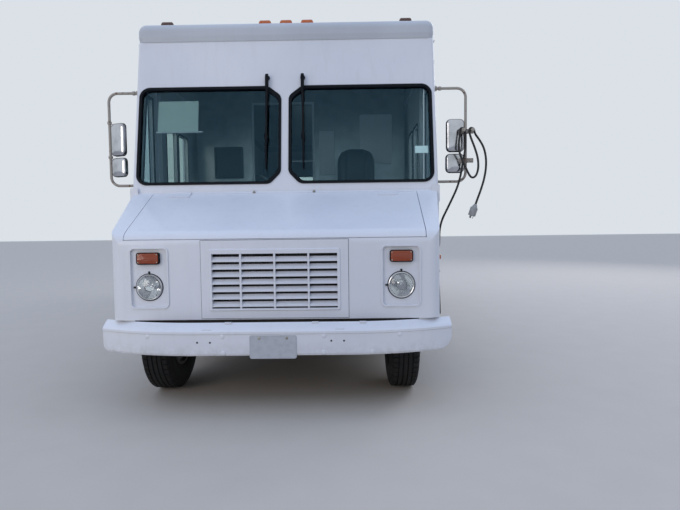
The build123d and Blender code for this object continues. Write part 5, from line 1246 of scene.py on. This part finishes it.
# %% Roof laps and the fan cowl's guard
FAN_PLACE = Vector((0.450, 1.400, ROOF_TOP_Z))
GUARD_RADIUS = 0.176
laps = piece("roof_laps", roof_enamel_and_shade, smooth=60)
for y in (-1.150, 0.350, 1.850, 3.050):
    add_block(laps, (-1.120, y - 0.022, ROOF_TOP_Z), (1.120, y + 0.022, ROOF_TOP_Z + 0.002))
    for shift in (-0.013, 0.013):
        add_rivets(laps, [(x, y + shift, ROOF_TOP_Z + 0.0018) for x in spaced(-1.09, 1.09, 0.10)], Z)
add_turned(laps, [(0.215, 0), (0.215, 0.003), (0.172, 0.006)], FAN_PLACE, Z, 48)
guard = piece("fan_cowl_guard", brushed_steel)
for u, v in around(12, 0.195):
    add_turned(guard, [(0.006, 0.003), (0.006, 0.008), (0.004, 0.009)], FAN_PLACE + Vector((u, v, 0)), Z, 6)
for u, v in around(12, GUARD_RADIUS):
    add_tube(guard, [FAN_PLACE + Vector((u, v, height)) for height in (0.006, 0.119)], 0.003, 6)
for height in (0.03, 0.06, 0.09):
    add_tube(guard, [FAN_PLACE + Vector((u, v, height)) for u, v in around(40, GUARD_RADIUS)], 0.002, 6,
             closed=True)
add_turned(guard, [(0.296, 0.116), (0.304, 0.116), (0.304, 0.124), (0.296, 0.124)], FAN_PLACE, Z, 56,
           looped=True)
finish_pieces()

# %% [markdown]
# ## The driver's seat
# The seat is two cushions on a pan: a squab and a tall back, both in black vinyl with a sewn cord
# round the edge. A cushion is crowned, thickest in the middle, and pulled in where the seams run. The
# form is made as a grid whose height follows the crown and dips at each seam.

# %% Build the cushions
SEAT_X, SEAT_Y, SEAT_BASE_Z = 0.580, -1.880, 1.290
SEAM_DEPTH, SEAM_WIDTH = 0.010, 0.009


def round_off(x, y, half_x, half_y, corner):
    """Brings a point of a rectangle's edge onto the same edge with rounded corners."""
    over_x, over_y = abs(x) - (half_x - corner), abs(y) - (half_y - corner)
    if over_x <= 0 or over_y <= 0:
        return x, y
    reach = corner / math.hypot(over_x, over_y)
    return (math.copysign(half_x - corner + over_x * reach, x),
            math.copysign(half_y - corner + over_y * reach, y))


def edge_of(rows):
    """What stands round the edge of a grid."""
    return rows[0][:-1] + [row[-1] for row in rows[:-1]] + rows[-1][:0:-1] + [row[0] for row in rows[:0:-1]]


def add_cushion(bm, width, length, thick, crown, seams, place, corner, steps=40):
    """A padded cushion with a crowned top that dips along seams; returns the line of its sewn edge."""
    half_x, half_y = width / 2, length / 2
    grid = [-1 + 2 * step / steps for step in range(steps + 1)]
    rows = []
    for v in grid:
        row = []
        for u in grid:
            spread = max(abs(u), abs(v), 1e-6)
            edge_x, edge_y = round_off(u / spread * half_x, v / spread * half_y, half_x, half_y, corner)
            share = spread ** 4
            x = (1 - share) * u * half_x + share * spread * edge_x
            y = (1 - share) * v * half_y + share * spread * edge_y
            edge = max(1 - spread ** 6, 0)
            height = thick * edge ** 0.38 + crown * (1 - u * u) * (1 - v * v)
            for seam in seams:
                height -= SEAM_DEPTH * math.exp(-((x - seam) / SEAM_WIDTH) ** 2) * min(1.0, 2.5 * edge)
            row.append(bm.verts.new(place @ Vector((x, y, height))))
        rows.append(row)
    for lower, upper in zip(rows, rows[1:]):
        for index in range(steps):
            bm.faces.new((lower[index], lower[index + 1], upper[index + 1], upper[index]))
    bm.faces.new(edge_of(rows)[::-1])
    return [vert.co.copy() for vert in edge_of([row[1:-1] for row in rows[1:-1]])]


piping = piece("seat_piping", moulded_black, smooth=60)
pan = piece("seat_pan", chassis_black, bevel=0.001)
squab = piece("seat_squab", seat_vinyl, smooth=50)
back = piece("seat_back", seat_vinyl, smooth=50)
squab_place = Matrix.Translation((SEAT_X, SEAT_Y, SEAT_BASE_Z + 0.012))
back_place = Matrix.Translation((SEAT_X, SEAT_Y + 0.214, 1.700)) @ Matrix.Rotation(math.radians(90), 4, "X")
for sewn in (add_cushion(squab, 0.424, 0.424, 0.098, 0.016, (-0.105, 0.105), squab_place, 0.050),
             add_cushion(back, 0.366, 0.590, 0.080, 0.016, (-0.090, 0.090), back_place, 0.140)):
    add_tube(piping, sewn, 0.0042, 6, closed=True)
add_block(pan, (SEAT_X - 0.200, SEAT_Y - 0.200, SEAT_BASE_Z),
          (SEAT_X + 0.200, SEAT_Y + 0.205, SEAT_BASE_Z + 0.012))
for x in (SEAT_X - 0.120, SEAT_X + 0.120):
    add_block(pan, (x - 0.016, SEAT_Y + 0.205, SEAT_BASE_Z), (x + 0.016, SEAT_Y + 0.2135, 1.680))
made = finish_pieces()
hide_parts("driver_seat")

# %% [markdown]
# ## The dashboard, the pedals and the cab's small things
# The cab is plain: one binnacle with two big and four small dials, a row of switches beside them,
# three pedals on stalks and a lever for the gears.

# %% Dials, switches, pedals and lever
DASH_SLOPE = Vector((0, 0.070, -0.120)).normalized()
DASH_OUT = Vector((0, 0.120, 0.070)).normalized()
DIALS = ((-0.062, 0.060, 0.045), (0.062, 0.060, 0.045), (-0.160, 0.045, 0.024), (-0.160, 0.100, 0.024),
         (0.160, 0.045, 0.024), (0.160, 0.100, 0.024))  # place beside the seat's middle, drop, radius
PEDALS = ((0.480, 0.060, 0.070), (0.595, 0.070, 0.060), (0.715, 0.045, 0.120))  # place, width, height
PEDAL_Z = 1.0
MARK = Vector((0.0012, 0.0012, 0.0012))


def on_dash(x, drop):
    """A point on the dashboard's sloping face."""
    return Vector((x, COWL_Y + 0.130, 1.500)) + DASH_SLOPE * drop


bezels = piece("dash_bezels_and_switches", moulded_black)
dials = piece("dash_dials", dial_face)
needles = piece("dash_needles", pale_needle)
pedals = piece("pedals_and_lever", moulded_black, bevel=0.0012)
pointer = facing(DASH_OUT)
for shift, drop, radius in DIALS:
    spot = on_dash(SEAT_X + shift, drop)
    add_turned(bezels, [(radius, 0), (radius + 0.005, 0), (radius + 0.005, 0.006), (radius + 0.001, 0.009),
                        (radius, 0.006)], spot, DASH_OUT, 32, looped=True)
    add_turned(dials, [(radius, 0.0), (radius, 0.002)], spot, DASH_OUT, 32)
    for u, v in around(12, radius * 0.84, -1)[:9]:
        mark = spot + pointer @ Vector((u, v, 0.0026))
        add_block(needles, mark - MARK, mark + MARK)
    pivot = spot + DASH_OUT * 0.003
    add_tube(needles, [pivot, pivot + pointer @ Vector((-radius * 0.5, radius * 0.5, 0))], 0.0011, 6)
for number in range(7):
    add_turned(bezels,
               [(0.008, 0), (0.008, 0.003), (0.004, 0.004), (0.004, 0.016), (0.0055, 0.020), (0, 0.021)],
               on_dash(SEAT_X - 0.330 - 0.045 * number, 0.070), DASH_OUT, 14)
for x, wide, tall in PEDALS:
    stalk = [(x, COWL_Y + 0.075, 1.240), (x, COWL_Y + 0.120, 1.080), (x, COWL_Y + 0.200, PEDAL_Z)]
    add_tube(pedals, bent(stalk, 0.03), 0.007, 10)
    add_block(pedals, (x - wide / 2, COWL_Y + 0.197, PEDAL_Z - tall / 2),
              (x + wide / 2, COWL_Y + 0.209, PEDAL_Z + tall / 2), Matrix.Rotation(math.radians(-30), 3, "X"))
gear_lever = [(0.260, -2.320, 1.105), (0.270, -2.300, 1.250), (0.330, -2.260, 1.370)]
add_tube(pedals, bent(gear_lever, 0.06), 0.0085, 12)
add_turned(pedals, [(0.010, -0.012), (0.021, 0.0), (0.026, 0.014), (0.021, 0.028), (0, 0.036)],
           (0.332, -2.259, 1.374), (0.42, 0.28, 0.84), 24)
add_turned(pedals, [(0.010, -0.012), (0.044, -0.012), (0.038, 0.000), (0.018, 0.018), (0.0105, 0.020)],
           (0.260, -2.318, 1.118), (0, 0.43, 0.9), 28, looped=True)
finish_pieces()

# %% [markdown]
# ## The kitchen
# Stainless appliances stand along the driver's side under an extraction hood: a griddle, a range with
# four burners and a fryer. The serving counter opposite has a sink and cupboard doors. The back wall of
# the cab is a painted partition with a doorway. All this shows through the windshield, the hatch and
# the rear windows.

# %% The cook line's fronts, knobs and tops
COOK_X, COOK_Z = 0.603, 1.750
COOK_RUNS = ((-0.685, 0.165), (0.180, 1.170), (1.185, 1.780), (1.795, 2.500), (2.515, 3.205))
cook = piece("cook_line_fittings", kitchen_steel, bevel=0.001)
hood_steel = piece("extraction_hood", kitchen_steel, bevel=0.001)
counter = piece("counter_and_shelves", kitchen_steel, bevel=0.001)
dark = piece("kitchen_black_parts_and_sink_shade", moulded_black, bevel=0.001)
partition_bits = piece("partition_frame_and_boxes", white_enamel, bevel=0.002)
for start, stop in COOK_RUNS:
    middle, width = (start + stop) / 2, stop - start
    add_frame(cook, (width, 0.300, 0.012), (width - 0.030, 0.270, 0.006),
              (COOK_X, middle, 1.560), -Y, Z, 0.006)
    add_frame(cook, (width - 0.02, 0.430, 0.012), (width - 0.060, 0.390, 0.006),
              (COOK_X, middle, 1.160), -Y, Z, 0.006)
    ends = ((0, start + 0.10), (0.045, start + 0.10), (0.045, stop - 0.10), (0, stop - 0.10))
    grip = [(COOK_X - out, y, 1.345) for out, y in ends]
    add_tube(cook, bent(grip, 0.02), 0.008, 10)
    for number in range(4):
        y = start + width * (number + 0.5) / 4
        add_turned(dark, [(0.026, 0), (0.026, 0.004), (0.019, 0.006), (0.017, 0.028), (0, 0.029)],
                   (COOK_X, y, 1.565), -X, 20)
        add_block(dark, (COOK_X - 0.036, y - 0.003, 1.550), (COOK_X - 0.028, y + 0.003, 1.580))
add_block(cook, (COOK_X - 0.030, -0.690, COOK_Z), (COOK_X, 3.210, COOK_Z + 0.012))
add_block(cook, (1.142, -0.690, COOK_Z), (1.160, 3.210, COOK_Z + 0.240))
add_block(cook, (0.660, -0.660, COOK_Z), (1.110, 0.140, COOK_Z + 0.026))
add_frame(cook, (0.470, 0.820, 0.020), (0.450, 0.800, 0.012), (0.885, -0.260, COOK_Z), X, Y, 0.055)
print("cook line with", len(COOK_RUNS), "fronts")

# %% Burners and fryer baskets
for y in (0.430, 0.920):
    for number in range(5):
        low_x, high_x = 0.680 + 0.088 * number, 0.692 + 0.088 * number
        add_block(dark, (low_x, y - 0.190, COOK_Z + 0.016), (high_x, y + 0.190, COOK_Z + 0.034))
    for shift in (-0.185, 0, 0.185):
        add_block(dark, (0.675, y + shift - 0.006, COOK_Z + 0.008),
                  (1.050, y + shift + 0.006, COOK_Z + 0.024))
    for x in (0.775, 0.955):
        add_turned(dark, [(0.050, 0), (0.050, 0.010), (0.034, 0.013), (0, 0.013)], (x, y, COOK_Z), Z, 28)
for y in (1.345, 1.620):
    add_frame(cook, (0.340, 0.230, 0.020), (0.325, 0.215, 0.014), (0.860, y, COOK_Z), X, Y, 0.080)
    for number in range(9):
        low_x, high_x = 0.705 + 0.038 * number, 0.707 + 0.038 * number
        add_block(dark, (low_x, y - 0.100, COOK_Z + 0.062), (high_x, y + 0.100, COOK_Z + 0.064))
    grip = [(0.700, y, COOK_Z + 0.070), (0.640, y, COOK_Z + 0.120), (0.560, y, COOK_Z + 0.130)]
    add_tube(dark, bent(grip, 0.03), 0.006, 8)
print("burners and baskets on the cook line")

# %% The extraction hood and its filters
HOOD_SECTION = [(0.560, 2.180), (0.560, 2.120), (0.575, 2.120), (0.575, 2.170), (1.120, 2.170),
                (1.120, 2.120), (1.160, 2.120), (1.160, 2.520), (0.900, 2.520)]
add_plate(hood_steel, HOOD_SECTION, (0, 3.150, 0), X, Z, 3.750)
for number in range(8):
    y = -0.300 + 0.440 * number
    add_frame(hood_steel, (0.380, 0.400, 0.008), (0.350, 0.370, 0.006), (0.850, y, 2.156), Y, X, -0.014)
    for bar in range(7):
        x = 0.690 + 0.050 * bar
        add_block(hood_steel, (x, y - 0.185, 2.142), (x + 0.022, y + 0.185, 2.150))
print("hood with 8 filters")

# %% The counter, its sink and the shelves above it
COUNTER_X, COUNTER_Z = -0.663, 1.420
COUNTER_START, COUNTER_STOP = -0.700, 3.220
SINK_PLACE, SINK_INNER = (-0.900, 2.700, COUNTER_Z), (0.380, 0.460, 0.042)
TAP_X, TAP_Y = -1.110, 2.700
TAP_LINE = ((TAP_X, 0), (TAP_X, 0.260), (-0.960, 0.260), (-0.960, 0.190))
add_block(counter, (COUNTER_X, COUNTER_START, COUNTER_Z),
          (COUNTER_X + 0.016, COUNTER_STOP, COUNTER_Z + 0.010))
add_block(counter, (COUNTER_X, COUNTER_START, COUNTER_Z - 0.030),
          (COUNTER_X + 0.006, COUNTER_STOP, COUNTER_Z))
for number in range(7):
    middle = COUNTER_START + 0.280 + 0.560 * number
    add_frame(counter, (0.530, 0.450, 0.008), (0.495, 0.415, 0.006), (COUNTER_X, middle, 1.130), Y, Z, 0.006)
    grip_y = middle - 0.205 if number % 2 else middle + 0.205
    add_tube(counter, bent(handle_line(COUNTER_X, 1, grip_y, 1.190, 1.290, 0.034), 0.012), 0.005, 8)
add_frame(counter, (0.400, 0.480, 0.050), SINK_INNER, SINK_PLACE, X, Y, 0.006)
# The sink's bowl is a flat black plate: painted shade of its hollow.
add_plate(dark, SINK_INNER, SINK_PLACE, X, Y, 0.0015)
add_tube(counter, bent([(x, TAP_Y, COUNTER_Z + lift) for x, lift in TAP_LINE], 0.060, 8), 0.010, 12)
for y in (TAP_Y - 0.080, TAP_Y + 0.080):
    add_turned(counter, [(0.018, 0), (0.018, 0.030), (0.012, 0.034), (0.012, 0.050), (0, 0.052)],
               (TAP_X, y, COUNTER_Z), Z, 18)
for z in (1.780, 2.080):
    add_block(counter, (-1.160, 1.420, z), (-0.920, 3.200, z + 0.012))
    add_block(counter, (-0.924, 1.420, z + 0.012), (-0.920, 3.200, z + 0.040))
    for y in (1.500, 2.300, 3.100):
        add_plate(counter, [(0, 0), (0.200, 0), (0, -0.140)], (-1.160, y, z), X, Z, 0.003)
print("counter with 7 doors and 2 shelves")

# %% The partition behind the cab
PARTITION_Y = -1.300
VENT_PLACE = (-0.765, PARTITION_Y, 1.925)
add_frame(partition_bits, box_outline(-0.330, 0.872, 0.330, 2.550), box_outline(-0.308, 0.872, 0.308, 2.528),
          (-0.180, PARTITION_Y, 0), X, Z, 0.012)
add_frame(dark, (0.300, 0.330, 0.012), (0.270, 0.300, 0.006), VENT_PLACE, X, Z, 0.030)
add_plate(dark, (0.272, 0.302, 0.006), VENT_PLACE, X, Z, 0.010)
add_plate(partition_bits, (0.160, 0.460, 0.008), (0.280, PARTITION_Y, 2.015), X, Z, 0.018)
add_plate(partition_bits, (0.340, 0.520, 0.020), (0.800, PARTITION_Y, 2.150), X, Z, 0.018)
finish_pieces()

# %% [markdown]
# ## Under the floor
# Seen from below, a van is its springs and bolts. Each leaf spring is a pack held by U-bolts, a shock
# absorber stands beside each rear wheel, straps carry the fuel tank, rubber hangers carry the exhaust,
# and mud flaps hang behind the rear wheels.

# %% U-bolts, shock absorbers, straps, hangers and flaps
RAIL_X, FLAP_X, SHOCK_X = 0.430, 0.830, 0.358
PIPE_X, PIPE_Z, PIPE_HANGER_TOP_Z = -0.575, 0.570, 0.679
SPRINGS = ((FRONT_AXLE_Y, 0.038, 0.409, 0.306), (REAR_AXLE_Y, 0.055, 0.442, 0.319))  # axle, leg, top, plate
HANGERS = ((-1.420, 0.028, 0.028), (-0.900, 0.110, 0.080), (-0.400, 0.028, 0.028), (0.100, 0.028, 0.028))
ubolts = piece("spring_u_bolts", zinc)
shocks = piece("shock_absorbers", chassis_black)
straps = piece("underbody_straps", zinc)
flaps = piece("mud_flaps", window_rubber)
for name, side in SIDES:
    for axle_y, leg_y, top_z, plate_z in SPRINGS:
        for y in (axle_y - leg_y, axle_y + leg_y):
            loop = [(side * (RAIL_X + out), y, z) for out, z in ((-0.040, plate_z - 0.032), (-0.040, top_z),
                                                                 (0.040, top_z), (0.040, plate_z - 0.032))]
            add_tube(ubolts, bent(loop, 0.016), 0.0070, 10)
            for shift in (-0.040, 0.040):
                add_turned(ubolts, [(0.0135, 0.012), (0.0135, 0.024), (0.011, 0.025)],
                           (side * (RAIL_X + shift), y, plate_z), -Z, 6)
        add_block(ubolts, (side * RAIL_X - 0.054, axle_y - leg_y - 0.014, plate_z - 0.012),
                  (side * RAIL_X + 0.054, axle_y + leg_y + 0.014, plate_z))
    foot = Vector((side * SHOCK_X, REAR_AXLE_Y + 0.060, 0.300))
    top = Vector((side * SHOCK_X, REAR_AXLE_Y + 0.290, 0.610))
    along = (top - foot).normalized()
    add_turned(shocks, [(0.018, 0), (0.026, 0.012), (0.026, 0.190), (0.011, 0.194), (0.011, 0.240)],
               foot, along, 20)
    add_turned(shocks, [(0.030, 0), (0.030, 0.140), (0.014, 0.146)], top - along * 0.150, along, 20)
    for spot, reach in ((foot, 0.020), (top, 0.098)):
        add_turned(shocks, [(0.018, -0.020), (0.018, 0.020)], spot, side * X, 16)
        add_turned(shocks, [(0.0075, 0.0), (0.0075, reach)], spot, side * X, 12)
    low_x, high_x = side * FLAP_X - 0.250, side * FLAP_X + 0.250
    add_block(flaps, (low_x, 1.7435, 0.200), (high_x, 1.7495, 0.800))
    for z in (0.215, 0.775):
        add_block(straps, (low_x, 1.7405, z - 0.015), (high_x, 1.7435, z + 0.015))
for y in (-0.670, 0.000):
    add_frame(straps, (0.428, 0.238, 0.034), (0.420, 0.230, 0.030), (0.675, y, 0.525), X, Z, 0.034)
    add_block(straps, (0.466, y - 0.034, 0.644), (0.888, y, 0.652))
for y, half_x, half_z in HANGERS:
    band_lines = [[((half_x + grow) * u, (half_z + grow) * v) for u, v in around(28)]
                  for grow in (0.003, 0.0)]
    add_frame(straps, *band_lines, (PIPE_X, y + 0.012, PIPE_Z), X, Z, 0.024)
    add_tube(straps, [(PIPE_X, y, z) for z in (PIPE_Z + half_z, PIPE_HANGER_TOP_Z)], 0.0055, 8)
finish_pieces()

# %% [markdown]
# ## A studio for a big white thing
# White paint shows its shape only through soft differences in light. The world is like an overcast
# sky: brighter and bluer overhead than at the horizon. One wide lamp stands low ahead of the van, at
# the picture's left, and a second one fills from behind. What the camera, the glass and shiny paint
# see of the world is one plain pale colour. The floor is a plain warm grey, darker than the paint.

# %% Floor, world and lamps
FLOOR_SIZE = 60
studio_floor = make_sheet("studio floor", "white_paint", "#BFB5A8", "#C7BDB0", 0.85, 300, detail=6)
floor_mesh = bmesh.new()
bmesh.ops.create_grid(floor_mesh, x_segments=1, y_segments=1, size=FLOOR_SIZE)
floor_data = bpy.data.meshes.new("studio floor")
floor_mesh.to_mesh(floor_data)
floor_mesh.free()
floor_data.materials.append(studio_floor.material)
floor = bpy.data.objects.new("studio_floor", floor_data)
bpy.context.scene.collection.objects.link(floor)

scene = bpy.context.scene
scene.view_settings.view_transform = "Standard"
scene.world = bpy.data.worlds.new("studio")
scene.world.use_nodes = True
sky = scene.world.node_tree
height = add_node(sky, "SeparateXYZ", {"Vector": add_node(sky, "TexCoord")["Generated"]})["Z"]
share = add_node(sky, "MapRange", {"Value": height, "From Min": 0.05, "From Max": 0.85})["Result"]
blue = add_node(sky, "Mix", {0: share, 6: "#D2D8E2", 7: "#C3D9FF"}, data_type="RGBA")[2]
strength_range = {"Value": height, "From Min": 0.10, "From Max": 0.90, "To Min": 0.42, "To Max": 1.42}
strength = add_node(sky, "MapRange", strength_range)["Result"]
background = sky.nodes["Background"]
feed(sky, background.inputs["Color"], blue)
feed(sky, background.inputs["Strength"], strength)
shown = add_node(sky, "Background", {"Color": "#DBE1E7", "Strength": 1.0})[0]
rays = add_node(sky, "LightPath")
seen = rays["Is Camera Ray"]
for kind in ("Is Transmission Ray", "Is Glossy Ray"):
    seen = add_node(sky, "Math", {0: seen, 1: rays[kind]}, operation="MAXIMUM")[0]
chosen = add_node(sky, "MixShader", {0: seen, 1: background.outputs[0], 2: shown})[0]
feed(sky, sky.nodes["World Output"].inputs["Surface"], chosen)


def add_lamp(name, place, aim, size, watts, colour):
    """A square soft lamp that faces a point."""
    data = bpy.data.lights.new(name, "AREA")
    data.size = size
    data.energy = watts
    data.color = linear(colour)[:3]
    lamp = bpy.data.objects.new(name, data)
    lamp.location = place
    lamp.rotation_euler = (Vector(aim) - Vector(place)).to_track_quat("-Z", "Y").to_euler()
    scene.collection.objects.link(lamp)


add_lamp("key", (-6.0, -11.0, 3.2), (0, -3, 0.7), 4.5, 165, "#FFF3E8")
add_lamp("fill", (8.0, 6.0, 7.0), (0, 0, 1.2), 6.0, 300, "#EEF2FF")
print("studio set")
